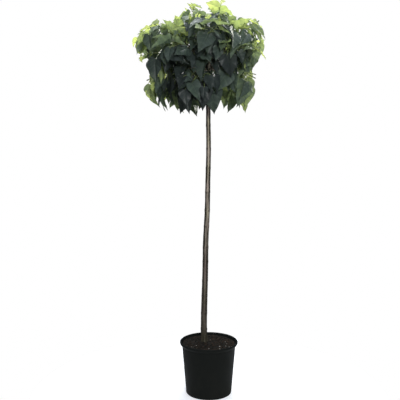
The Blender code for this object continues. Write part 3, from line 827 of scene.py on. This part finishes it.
def leaf_surface(leaf, pattern, rng):
    """The points of one fine leaf: the solid leaf's fold and arch, with its blade quilted between the veins,
    its margin in waves and a slight twist."""
    x, y, across, row = pattern.places.T
    veins = np.abs(np.sin(math.pi * row / STATIONS_PER_VEIN))
    quilt = QUILTING * veins ** 0.7 * 2 * across * (1 - 0.75 * across)
    rib = RIB_DEPTH * np.exp(-(across / RIB_WIDTH) ** 2)
    turns = rng.uniform(*WAVES) * math.tau * row / pattern.stations
    phases = np.where(x < 0, rng.uniform(0, math.tau), rng.uniform(0, math.tau))
    wave = rng.uniform(*WAVE_HEIGHT) * np.sin(turns + phases) * across ** 2
    wave *= np.sin(math.pi * row / pattern.stations)
    twist = rng.uniform(-TWIST, TWIST) * (y - 0.2)
    bend = rng.uniform(-SIDE_BEND, SIDE_BEND) * y * np.abs(y)
    fold = leaf.fold + rng.uniform(*EXTRA_FOLD)
    rise = fold * np.abs(x) - rng.uniform(*MARGIN_CURL) * x * x - leaf.arch * y * np.abs(y)
    rise += quilt - rib + wave + x * np.sin(twist)
    wide = (x * np.cos(twist) + bend) * leaf.broad
    roll = rng.gauss(0, EXTRA_ROLL)
    side = math.cos(roll) * leaf.side + math.sin(roll) * leaf.face
    axes = np.array([side, leaf.along, side.cross(leaf.along)])
    points = np.array(leaf.stalk[-1]) + leaf.length * (np.stack([wide, y, rise], axis=1) @ axes)
    return np.clip(points, *(np.array(corner) for corner in cad_box))


class Net:
    """Points and faces gathered into one joined mesh, with a material to each face."""

    def __init__(self, name):
        self.name = name
        self.points, self.faces, self.slots, self.materials = [], [], [], []
        self.count = 0

    def add(self, points, faces, materials):
        """materials is one material, or a list with one for each face."""
        self.points.append(np.array(points, float))
        self.faces += [tuple(v + self.count for v in face) for face in faces]
        for made in materials if isinstance(materials, list) else [materials] * len(faces):
            if made not in self.materials:
                self.materials.append(made)
            self.slots.append(self.materials.index(made))
        self.count += len(points)

    def object(self, smooth=True):
        mesh = bpy.data.meshes.new(self.name)
        mesh.from_pydata(np.concatenate(self.points).tolist(), [], self.faces)
        for material in self.materials:
            mesh.materials.append(material)
        mesh.polygons.foreach_set("material_index", self.slots)
        if smooth:
            mesh.shade_smooth()
        made = bpy.data.objects.new(self.name, mesh)
        bpy.context.scene.collection.objects.link(made)
        return made


def piece_of(name, shape, material):
    """A piece of one shape in one material."""
    net = Net(name)
    net.add(*shape, material)
    return net.object()


def placed(piece, slot, *nodes):
    """Hangs a piece on the root body and hides the solids of the nodes that it stands for; slot is not used.
    """
    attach(piece, "root")
    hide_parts(*nodes)


def tone_with_painted_light(leaf, spray_painted_light, rng):
    """How light a leaf is, with painted light and shade: by its height, by how far out to the crown's sides
    it lies, less so higher up, by how far it hangs into the crown's lit lower edge, by its age and by its
    spray's painted light."""
    middle = blade_point(leaf, 0, 0.5)
    centre_x, radius = read_off(CROWN_OUTLINE, middle.z)
    aside = min(1, abs(middle.x - centre_x) / radius)
    height = (middle.z - CROWN_FOOT) / (CROWN_TOP - CROWN_FOOT)
    tip = blade_point(leaf, 0, 1).z - CROWN_FOOT
    painted_fringe_light = max(0, 1 - tip / FRINGE_HEIGHT) * min(1, aside / FRINGE_ASIDE)
    # painted light and shade: lighter higher up, at the crown's sides and at its lower edge, darker low and
    # inside
    tone = read_off(PAINTED_LIGHT_BY_HEIGHT, middle.z)[0] + mix(PAINTED_SIDE_LIGHT, height) * aside ** 6 + PAINTED_FRINGE_LIGHT * painted_fringe_light
    tone += leaf.kind.youth
    # the spray's painted light or shade
    tone += spray_painted_light + rng.gauss(0, TONE_SPREAD)
    return min(1, max(0, tone))


def leaves_of(shoot, patterns, materials, rng):
    """All of one mass's leaves, each in the tone of its place, which carries painted light and shade, with
    its ribs a tone lighter.
    """
    net = Net("leaves_" + shoot.name)
    for leaf in shoot.leaves:
        pattern = patterns[leaf.kind.outline]
        tone = tone_with_painted_light(leaf, shoot.tone, rng)
        levels = {part: min(TONES - 1, int((tone + step) * TONES)) for part, step in LIGHTER.items()}
        made = [materials[levels[part]] for part in pattern.along]
        net.add(leaf_surface(leaf, pattern, rng), pattern.faces, made)
    return net.object()


def bell(gap, width):
    """A soft hump: 1 where the gap is nothing, and almost nothing two widths away."""
    return math.exp(-(gap / width) ** 2)


def layered(point, layers):
    """Noise at a point, added up from layers: each one's height, fineness across and along, and shift."""
    total = 0
    for height, across, along, shift in layers:
        place = Vector((point.x * across, point.y * across, point.z * along + shift))
        total += height * noise.noise(place)
    return total


def roughened(points, course, sides, layers):
    """Moves each point of a tube out from its course by layers of noise."""
    return [p + layered(p, layers) * (p - course[k // sides]).normalized() for k, p in enumerate(points)]


def stem_radii(length, radii, pieces, nodes):
    """The radii along a stem, a little thicker at each of its nodes."""
    thick = []
    for k in range(pieces + 1):
        swelling = sum(bell(length * k / pieces - node, NODE_REACH) for node in nodes)
        thick.append(mix(radii, k / pieces) * (1 + NODE_SWELLING * min(1, swelling)))
    return thick


def twigs_of(shoot, wood, green, stalk):
    """One mass's leafy stem, twigs and leaf stalks, woody at the foot and green at the ends."""
    net = Net("twigs_" + shoot.name)
    axes = [(shoot.leafy, LEAFY_RADII, 12, 9, FIRST_NODES[0])]
    axes += [(twig, TWIG_RADII, 10, 8, FIRST_NODES[1]) for twig in shoot.twigs]
    axes += [(twig, FINER_TWIG_RADII, 7, 6, 0.6 * FINER_INTERNODE) for twig in shoot.finer]
    for course, radii, pieces, sides, first in axes:
        fine = smoothed(course, pieces)
        length = length_of(course)
        spacing = max(1, round((length - first) / INTERNODE))
        nodes = [mix((first, length - LAST_NODE), k / spacing) for k in range(spacing + 1)]
        points, faces = tube(fine, stem_radii(length, radii, len(fine) - 1, nodes), sides)
        woody = WOODY_SHARE * len(points) if course is shoot.leafy else 0
        materials = [wood if max(face) < woody else green for face in faces]
        net.add(roughened(points, fine, sides, STEM_GRAIN), faces, materials)
    for leaf in shoot.leaves:
        slim = min(1, (leaf.length / FULL_STALK_LENGTH) ** 0.6)
        net.add(*tube(smoothed(leaf.stalk, 4), [slim * radius for radius in STALK_RADII], 6), stalk)
    return net.object()


def scars_on_trunk():
    """The old leaf scars: whorls of three up the stem, each as its height and its bearing."""
    rng = random.Random(SEED)
    scars, height, bearing = [], SCAR_HEIGHTS[0], 0.0
    while height < SCAR_HEIGHTS[1]:
        for k in range(3):
            level = height + rng.uniform(-0.004, 0.004)
            scars.append((level, bearing + math.tau * k / 3 + rng.gauss(0, 0.12)))
        height += rng.uniform(*SCAR_SPACING)
        bearing += math.pi / 3
    return scars


def strip_and_painted_light_at(spot, way):
    """How pale the bark is: in long strips with dark furrows between them, four of them plainer than the
    rest, and painted paler on the stem's front side, as painted light."""
    # painted light: the stem's front side is painted paler
    painted_lit_side = max(0, way.dot(Vector(PAINTED_LIT_SIDE).normalized()))
    turn = math.atan2(way.y, way.x) + 0.4 * noise.noise(Vector((0, 0, spot.z * 3)))
    ribs = max(0, math.cos(4 * turn)) ** 1.5
    return min(1, max(0, PAINTED_LIT_SIDE_TONE * painted_lit_side ** 4 + RIBS_TONE * ribs + layered(spot, STRIP_GRAIN)))


def bark_point(centre, radius, turn, scars):
    """One point of the trunk, how much it is marked by the leaf scars near it, and how pale it is, with the
    painted light of the stem's front side.
    """
    way = Vector((math.cos(turn), math.sin(turn), 0))
    spot = centre + radius * way
    pale = strip_and_painted_light_at(spot, way)
    relief = layered(spot, TRUNK_GRAIN) + STRIP_RELIEF * (pale - 0.5)
    relief += WHORL_RELIEF * max([bell(centre.z - height, 0.006) for height, _ in scars], default=0)
    callus = bell(centre.z - KNUCKLE_HEIGHT, 0.05) * noise.noise(spot * 75 + Vector((5, 0, 0)))
    relief += CALLUS_RELIEF * callus
    above = max(0, centre.z - TRUNK_GROUND)
    roots = max(-0.3, math.cos(5 * turn + 3 * noise.noise(way)))
    relief += ROOT_RELIEF * math.exp(-above / 0.020) * roots
    mark = 0.0
    for height, bearing in scars:
        around = radius * ((turn - bearing + math.pi) % math.tau - math.pi) / SCAR_SIZE[0]
        reach = math.hypot(around, (centre.z - height) / SCAR_SIZE[1])
        inside = math.exp(-reach ** 4)
        relief += SCAR_LIP * bell(reach - 1, 0.35) - SCAR_DEPTH * inside
        mark = max(mark, inside + 0.4 * bell(reach - 1.2, 0.3))
    return spot + relief * way, min(1, mark), pale


def trunk_piece(bark):
    """The trunk with its bark in relief: root flare, strips, lumps, leaf scars and the graft's callus."""
    top = KNUCKLE_HEIGHT + 0.995 * KNUCKLE_HALF_HEIGHT
    course = smoothed([Vector(row) for row in TRUNK_COURSE], TRUNK_PIECES)
    turns = [math.tau * k / TRUNK_ROUND for k in range(TRUNK_ROUND)]
    scars = scars_on_trunk()
    rows = []
    for height in np.linspace(TRUNK_GROUND - TRUNK_BURIED, top, TRUNK_RINGS):
        centre = trunk_centre(height, course)
        radius = trunk_radius(max(centre.z, TRUNK_GROUND))
        near = [scar for scar in scars if abs(scar[0] - centre.z) < SCAR_REACH]
        rows.append([bark_point(centre, radius, turn, near) for turn in turns])
    piece = piece_of("trunk_bark", skin([[point for point, _, _ in row] for row in rows]), bark)
    # strips: the bark's pale strips together with the painted light of its front side
    marks, strips = ([made[k] for row in rows for made in row] for k in (1, 2))
    return marked(piece, mark=marks, strip=strips)


def marked(piece, **values):
    """Gives a piece's points the values that its bark is coloured by."""
    for name, numbers in values.items():
        piece.data.attributes.new(name, "FLOAT", "POINT").data.foreach_set("value", numbers)
    return piece


def boughs_piece(shoots, bark):
    """The bare limbs between the knuckle and the leafy stems, with collars where they leave the knuckle."""
    net = Net("bough_bark")
    length = BOUGH_LENGTH + BOUGH_OVERLAP
    shares = [k / BOUGH_RINGS for k in range(BOUGH_RINGS + 1)]
    radii = [mix(BOUGH_RADII, t) + COLLAR * math.exp(-length * t / COLLAR_LENGTH) for t in shares]
    for shoot in shoots:
        course = stretch(shoot.course, 0, length, BOUGH_RINGS)
        points, faces = tube(course, radii, BOUGH_ROUND)
        net.add(roughened(points, course, BOUGH_ROUND, BOUGH_GRAIN), faces, bark)
    return marked(net.object(), mark=[0.0] * net.count, strip=[0.4] * net.count)


def lathe(profile, segments):
    """A closed skin turned from (radius, height) points that start and end on the axis."""
    rings = [circle((0, 0, height), radius, segments) for radius, height in profile[1:-1]]
    points = [p for ring in rings for p in ring]
    faces = bands(len(rings), segments)
    for first, (_, height) in ((0, profile[0]), (len(points) - segments, profile[-1])):
        points.append(Vector((0, 0, height)))
        for k in range(segments):
            ring = (len(points) - 1, first + (k + 1) % segments, first + k)
            faces.append(ring if first == 0 else ring[::-1])
    return points, faces


def rounded(corners):
    """A profile with its corners turned into arcs. Each corner is a radius, a height and the arc's size."""
    made = []
    for k, (radius, height, size) in enumerate(corners):
        if not size:
            made.append((radius, height))
            continue
        corner = Vector((radius, height))
        before, after = (Vector(corners[n][:2]) - corner for n in (k - 1, k + 1))
        start, end = (corner + leg.normalized() * min(size, 0.48 * leg.length) for leg in (before, after))
        made += [tuple(point) for point in arc(start, corner, end, ARC_PIECES)]
    return made


def pot_piece(material):
    """The moulded pot: rolled lip, tapered wall, rounded foot with a shallow recess, and its drain holes."""
    top, lip = POT_HEIGHT, POT_HEIGHT - LIP_HEIGHT
    corners = (
        (0, 0.0012, 0),
        (0.055, 0.0012, 0),
        (0.058, 0, 0.001),
        (FOOT_RADIUS - FOOT_ROUNDING, 0, 0),
        (FOOT_RADIUS - 0.0008, 0, FOOT_ROUNDING),
        (FOOT_RADIUS, FOOT_ROUNDING, 0),
        (SHOULDER_RADIUS, lip, 0.0012),
        (SHOULDER_RADIUS + 0.0045, lip + 0.0015, 0.0015),
        (RIM_RADIUS, top - 0.0090, 0.006),
        (RIM_RADIUS - 0.0012, top - 0.0022, 0.002),
        (RIM_RADIUS - 0.0040, top, 0.002),
        (RIM_RADIUS - 0.0085, top, 0.002),
        (RIM_RADIUS - 0.0115, top - 0.0050, 0.003),
        (INNER_RADIUS, lip + 0.0010, 0),
        (FOOT_RADIUS - POT_WALL, FOOT_ROUNDING, 0),
        (FOOT_RADIUS - FOOT_ROUNDING, POT_FLOOR, 0),
        (0, POT_FLOOR, 0),
    )
    shell = piece_of("pot_shell", lathe(rounded(corners), POT_ROUND), material)
    drains = Net("drains")
    for k in range(DRAIN_HOLES):
        turn = math.tau * (k + 0.5) / DRAIN_HOLES
        at = DRAIN_CIRCLE * Vector((math.cos(turn), math.sin(turn), 0))
        ends = (-POT_FLOOR, 2 * POT_FLOOR)
        drains.add(*skin([circle(at + height * UP, DRAIN_RADIUS, 32) for height in ends]), material)
    cutter = drains.object()
    modifier = shell.modifiers.new("drains", "BOOLEAN")
    modifier.operation = "DIFFERENCE"
    modifier.object = cutter
    modifier.solver = "EXACT"
    shell.data = bpy.data.meshes.new_from_object(shell.evaluated_get(bpy.context.evaluated_depsgraph_get()))
    shell.modifiers.clear()
    bpy.data.objects.remove(cutter)
    shell.data.name = shell.name
    shell.data.shade_smooth()
    shell.data.set_sharp_from_angle(angle=SHARP_ANGLE)
    return shell


def soil_height(x, y):
    """The compost's surface: a low mound under the stem, with clods and hollows."""
    foot_x, foot_y = TRUNK_COURSE[0][1:]
    out = min(1, math.hypot(x - foot_x, y - foot_y) / INNER_RADIUS)
    mound = mix((SOIL_SEAT_HEIGHT, SOIL_EDGE_HEIGHT), min(1, max(0, out - 0.15) / 0.75))
    return mound - SOIL_SINKING + layered(Vector((x, y, 0)), SOIL_GRAIN)


def soil_piece(material):
    """The root ball: a crumbly surface inside the lip, closed down to the pot's floor."""
    edge = INNER_RADIUS - GAP
    wall = (
        (POT_FLOOR + GAP, FOOT_RADIUS - FOOT_ROUNDING - GAP),
        (FOOT_ROUNDING + GAP, FOOT_RADIUS - POT_WALL - GAP),
        (SOIL_EDGE_HEIGHT - 0.010, edge),
    )
    rings = [circle((0, 0, height), radius, POT_ROUND) for height, radius in wall]
    for k in range(SOIL_FINE_RINGS, 0, -1):
        ring = circle((0, 0, 0), edge * k / SOIL_FINE_RINGS, POT_ROUND)
        rings.append([Vector((p.x, p.y, soil_height(p.x, p.y))) for p in ring])
    return piece_of("soil_surface", skin(rings), material)


def crumb(rng, at, size, flatness):
    """One angular lump: a ball pulled about, flattened and laid down at any turn."""
    shape = bmesh.new()
    bmesh.ops.create_icosphere(shape, subdivisions=2, radius=1)
    turn = Matrix.Rotation(rng.uniform(0, math.tau), 3, "Z")
    swing = turn @ Matrix.Rotation(rng.uniform(-0.4, 0.4), 3, "X")
    wide = Vector((rng.uniform(0.7, 1.3), rng.uniform(0.45, 0.8), flatness))
    offset = Vector((rng.uniform(0, 9), rng.uniform(0, 9), rng.uniform(0, 9)))
    points = []
    for vert in shape.verts:
        bump = 1 + 0.42 * noise.noise(vert.co * 1.3 + offset)
        points.append(at + size * (swing @ (vert.co * wide * bump)))
    faces = [tuple(v.index for v in face.verts) for face in shape.faces]
    shape.free()
    return points, faces


def crumbs_piece(kinds):
    """Clods, bark chips and a few pale specks, lying in the surface. Each kind has its material, how many
    there are, their sizes, and how flat they are and how deep they lie, as shares of their size."""
    rng = random.Random(SEED)
    net = Net("soil_crumbs")
    reach = INNER_RADIUS - CRUMB_EDGE
    foot = Vector(TRUNK_COURSE[0][1:])
    for material, count, sizes, flatness, sunk in kinds:
        for _ in range(count):
            out, turn = reach * math.sqrt(rng.random()), rng.uniform(0, math.tau)
            x, y = out * math.cos(turn), out * math.sin(turn)
            if (Vector((x, y)) - foot).length < CRUMB_FREE:
                continue
            size = rng.uniform(*sizes)
            at = Vector((x, y, soil_height(x, y) + size * (flatness - sunk)))
            net.add(*crumb(rng, at, size, flatness), material)
    return net.object(smooth=False)


def feed(tree, node, inputs):
    """Sets a node's inputs, or links those given as another node's output. A colour is three numbers."""
    for name, value in inputs.items():
        socket = node.inputs[name]
        if isinstance(value, bpy.types.NodeSocket):
            tree.links.new(value, socket)
        else:
            socket.default_value = (*value, 1) if socket.type == "RGBA" else value


def node_in(tree, kind, inputs, output=0, **settings):
    """Adds a node with its inputs and settings, and gives one of its outputs."""
    node = tree.nodes.new("ShaderNode" + kind)
    for name, value in settings.items():
        setattr(node, name, value)
    feed(tree, node, inputs)
    return node.outputs[output]


def place_in(tree):
    """Where a point of the surface lies, in metres."""
    return node_in(tree, "TexCoord", {}, "Object")


def height_in(tree, place):
    return node_in(tree, "SeparateXYZ", {"Vector": place}, "Z")


def noise_in(tree, place, scale, detail, roughness):
    inputs = {"Vector": place, "Scale": scale, "Detail": detail, "Roughness": roughness}
    return node_in(tree, "TexNoise", inputs)


def product_in(tree, value, factor, added=0.0):
    """value times factor, plus added."""
    return node_in(tree, "Math", {0: value, 1: factor, 2: added}, operation="MULTIPLY_ADD")


def range_in(tree, value, low, high, to_low=0.0, to_high=1.0):
    """Carries value from low..high over to to_low..to_high and stops at both."""
    inputs = {"Value": value, "From Min": low, "From Max": high, "To Min": to_low, "To Max": to_high}
    return node_in(tree, "MapRange", inputs)


def ramp_in(tree, value, stops):
    """The colour at value, between stops of a position and a colour each."""
    made = node_in(tree, "ValToRGB", {"Fac": value})
    elements = made.node.color_ramp.elements
    while len(elements) < len(stops):
        elements.new(0.5)
    for element, (position, colour) in zip(elements, stops):
        element.position = position
        element.color = (*colour, 1)
    return made


def mix_in(tree, share, first, second, way="MIX"):
    """Two colours, mixed by share or multiplied."""
    return node_in(tree, "Mix", {0: share, 6: first, 7: second}, 2, data_type="RGBA", blend_type=way)


def relief_in(tree, height, strength, distance):
    return node_in(tree, "Bump", {"Height": height, "Strength": strength, "Distance": distance})


def shade(material, inputs):
    """Sets or links the inputs of a material's shader."""
    feed(material.node_tree, material.node_tree.nodes["Principled BSDF"], inputs)
    return material


def plain(name, colour, roughness, specular):
    """A material of one colour, as the start of each finish."""
    material = bpy.data.materials.new(name)
    material.use_nodes = True
    return shade(material, {"Base Color": colour, "Roughness": roughness, "Specular IOR Level": specular})


def leaf_material(tone):
    """One leaf tone, whose colour holds its painted light or shade: a waxy surface that lets some light
    through, more and yellower in the lighter tones and the young leaves.
    """
    colour = read_off(LEAF_COLOURS, tone)
    material = plain(f"leaf_{round(100 * tone):03d}", colour, mix(LEAF_ROUGHNESS, tone), 0.34)
    tree = material.node_tree
    grain = noise_in(tree, place_in(tree), scale=85, detail=4, roughness=0.55)
    relief = relief_in(tree, grain, strength=0.7, distance=0.0022)
    shade(material, {"Normal": relief})
    inner = [part * gain for part, gain in zip(colour, THROUGH_GAINS)]
    through = node_in(tree, "BsdfTranslucent", {"Color": inner, "Normal": relief})
    surface = tree.nodes["Principled BSDF"].outputs["BSDF"]
    both = node_in(tree, "MixShader", {0: mix(THROUGH_SHARES, tone), 1: surface, 2: through})
    feed(tree, tree.nodes["Material Output"], {"Surface": both})
    return material


def bark_material(name, dark, light, foot):
    """Young bark: grey-brown in long strips and fine streaks, whose paleness also carries painted light on
    the stem's front side, darker low down and in its leaf scars, with olive and mauve patches, pale
    breathing pores and a fine relief."""
    material = plain(name, light, 0.78, 0.15)
    tree = material.node_tree
    place = place_in(tree)
    # the strip attribute holds the bark's pale strips and the painted light of the stem's front side
    strips, scars = (node_in(tree, "Attribute", {}, "Fac", attribute_name=key) for key in ("strip", "mark"))
    scales = (STREAKS_SCALE, PORES_SCALE)
    long, wide = (node_in(tree, "Mapping", {"Vector": place, "Scale": scale}) for scale in scales)
    streaks = noise_in(tree, long, scale=210, detail=6, roughness=0.65)
    streaks = product_in(tree, streaks, 0.5, product_in(tree, strips, 0.5))
    lightest = tuple(c * 1.35 for c in light)
    colour = ramp_in(tree, streaks, ((0.32, dark), (0.60, light), (0.76, lightest)))
    low = range_in(tree, height_in(tree, place), 1.50, 0.50, 0.0, 0.86)
    colour = mix_in(tree, low, colour, foot)
    patches = noise_in(tree, place, scale=5, detail=2, roughness=0.5)
    colour = mix_in(tree, 1, colour, ramp_in(tree, patches, BARK_HUES), "MULTIPLY")
    pores = range_in(tree, node_in(tree, "TexVoronoi", {"Vector": wide, "Scale": 150}), 0.20, 0.10)
    colour = mix_in(tree, product_in(tree, pores, 0.30), colour, PORE_COLOUR)
    colour = mix_in(tree, product_in(tree, scars, 0.75), colour, SCAR_COLOUR)
    inputs = {
        "Base Color": colour,
        "Roughness": range_in(tree, streaks, 0.3, 0.75, 0.86, 0.66),
        "Normal": relief_in(tree, streaks, strength=0.5, distance=0.0006),
    }
    return shade(material, inputs)


def pot_material():
    """Satin black moulded plastic, duller where dust and dried splashes sit on it."""
    material = plain("black_plastic", POT_BLACK, 0.6, 0.03)
    tree = material.node_tree
    place = place_in(tree)
    dust = noise_in(tree, place, scale=11, detail=7, roughness=0.62)
    grain = noise_in(tree, place, scale=240, detail=3, roughness=0.5)
    low = range_in(tree, height_in(tree, place), 0.16, 0.0, 0.12, 0.35)
    share = product_in(tree, range_in(tree, dust, 0.46, 0.72), low)
    inputs = {
        "Base Color": mix_in(tree, share, POT_BLACK, POT_DUST),
        "Roughness": range_in(tree, dust, 0.35, 0.70, 0.52, 0.72),
        "Normal": relief_in(tree, grain, strength=0.25, distance=0.0002),
    }
    return shade(material, inputs)


def soil_material(name, dark, light, scale):
    """Compost or chips: a mottled matt brown with a gritty relief."""
    material = plain(name, dark, 0.95, 0.12)
    tree = material.node_tree
    grit = noise_in(tree, place_in(tree), scale, detail=8, roughness=0.7)
    colour = ramp_in(tree, grit, ((0.38, dark), (0.66, light)))
    relief = relief_in(tree, grit, strength=0.6, distance=0.0008)
    return shade(material, {"Base Color": colour, "Normal": relief})


def lamp(name, kind, place, aim, size, watts, colour):
    """A soft lamp: a disc, or a spot whose beam takes in the crown alone."""
    data = bpy.data.lights.new(name, kind)
    if kind == "AREA":
        data.shape = "DISK"
        data.size = size
    else:
        data.spot_size = SPOT_BEAM
        data.spot_blend = 0.4
        data.shadow_soft_size = size / 2
    data.energy = watts
    data.color = colour
    made = bpy.data.objects.new(name, data)
    made.location = place
    made.rotation_euler = (Vector(aim) - Vector(place)).to_track_quat("-Z", "Y").to_euler()
    bpy.context.scene.collection.objects.link(made)


def studio():
    """A white sweep, soft light from above and behind that shines through the top leaves, and the camera."""
    scene = bpy.context.scene
    scene.view_settings.view_transform = "Standard"
    scene.world = bpy.data.worlds.new("studio")
    scene.world.use_nodes = True
    tree = scene.world.node_tree
    height = height_in(tree, node_in(tree, "TexCoord", {}, "Generated"))
    glow = ramp_in(tree, range_in(tree, height, -1.0, 1.0), SKY)
    seen = node_in(tree, "LightPath", {}, "Is Camera Ray")
    feed(tree, tree.nodes["Background"], {"Color": mix_in(tree, seen, glow, (1, 1, 1)), "Strength": 1.0})
    for setting in LAMPS:
        lamp(*setting)

    white = plain("white_sweep", (0.85, 0.85, 0.85), 0.9, 0.2)
    shade(white, {"Emission Color": (1, 1, 1), "Emission Strength": 0.3})
    sweep = circle((0, 0, 0), FLOOR_RADIUS, FLOOR_ROUND)
    piece_of("floor", (sweep, [tuple(range(FLOOR_ROUND))]), white)

    lens = bpy.data.cameras.new("camera")
    lens.lens = LENS
    camera = bpy.data.objects.new("camera", lens)
    camera.location = CAMERA_PLACE
    camera.rotation_euler = (math.pi / 2 - CAMERA_TILT, 0, 0)
    scene.collection.objects.link(camera)
    scene.camera = camera


shoots, tested = grow_crown()
grow_finer(shoots, tested)

leaf_materials = [leaf_material((k + 0.5) / TONES) for k in range(TONES)]
patterns = {kind.outline: leaf_pattern(kind.outline, kind.veins) for kind in KINDS.values()}
wood = plain("shoot_wood", (0.085, 0.075, 0.045), 0.7, 0.3)
green = plain("shoot_green", (0.120, 0.150, 0.055), 0.6, 0.35)
stalk = plain("leaf_stalk", (0.150, 0.190, 0.065), 0.5, 0.4)
rng = random.Random(FINER_SEED)
for shoot in shoots:
    foliage = "foliage_" + shoot.name
    placed(leaves_of(shoot, patterns, leaf_materials, rng), "foliage", foliage)
    placed(twigs_of(shoot, wood, green, stalk), "foliage", foliage)

bark = bark_material("young_bark", (0.030, 0.026, 0.019), (0.360, 0.316, 0.258), (0.028, 0.024, 0.017))
placed(trunk_piece(bark), "bark", "trunk")
placed(boughs_piece(shoots, bark), "bark", *["bough_" + shoot.name for shoot in shoots])

placed(pot_piece(pot_material()), "pot", "pot")
compost = soil_material("compost", (0.0046, 0.0041, 0.0031), (0.0176, 0.0150, 0.0110), 130)
chips = soil_material("bark_chip", (0.012, 0.008, 0.005), (0.040, 0.025, 0.016), 260)
grit = soil_material("pale_grit", (0.15, 0.145, 0.13), (0.38, 0.365, 0.33), 400)
placed(soil_piece(compost), "soil", "soil")
crumbs = (
    (compost, 900, (0.0015, 0.0042), 0.6, 0.3),
    (chips, 260, (0.003, 0.0075), 0.28, 0.05),
    (grit, 16, (0.0015, 0.0036), 0.8, 0.2),
)
placed(crumbs_piece(crumbs), "soil", "soil")

studio()
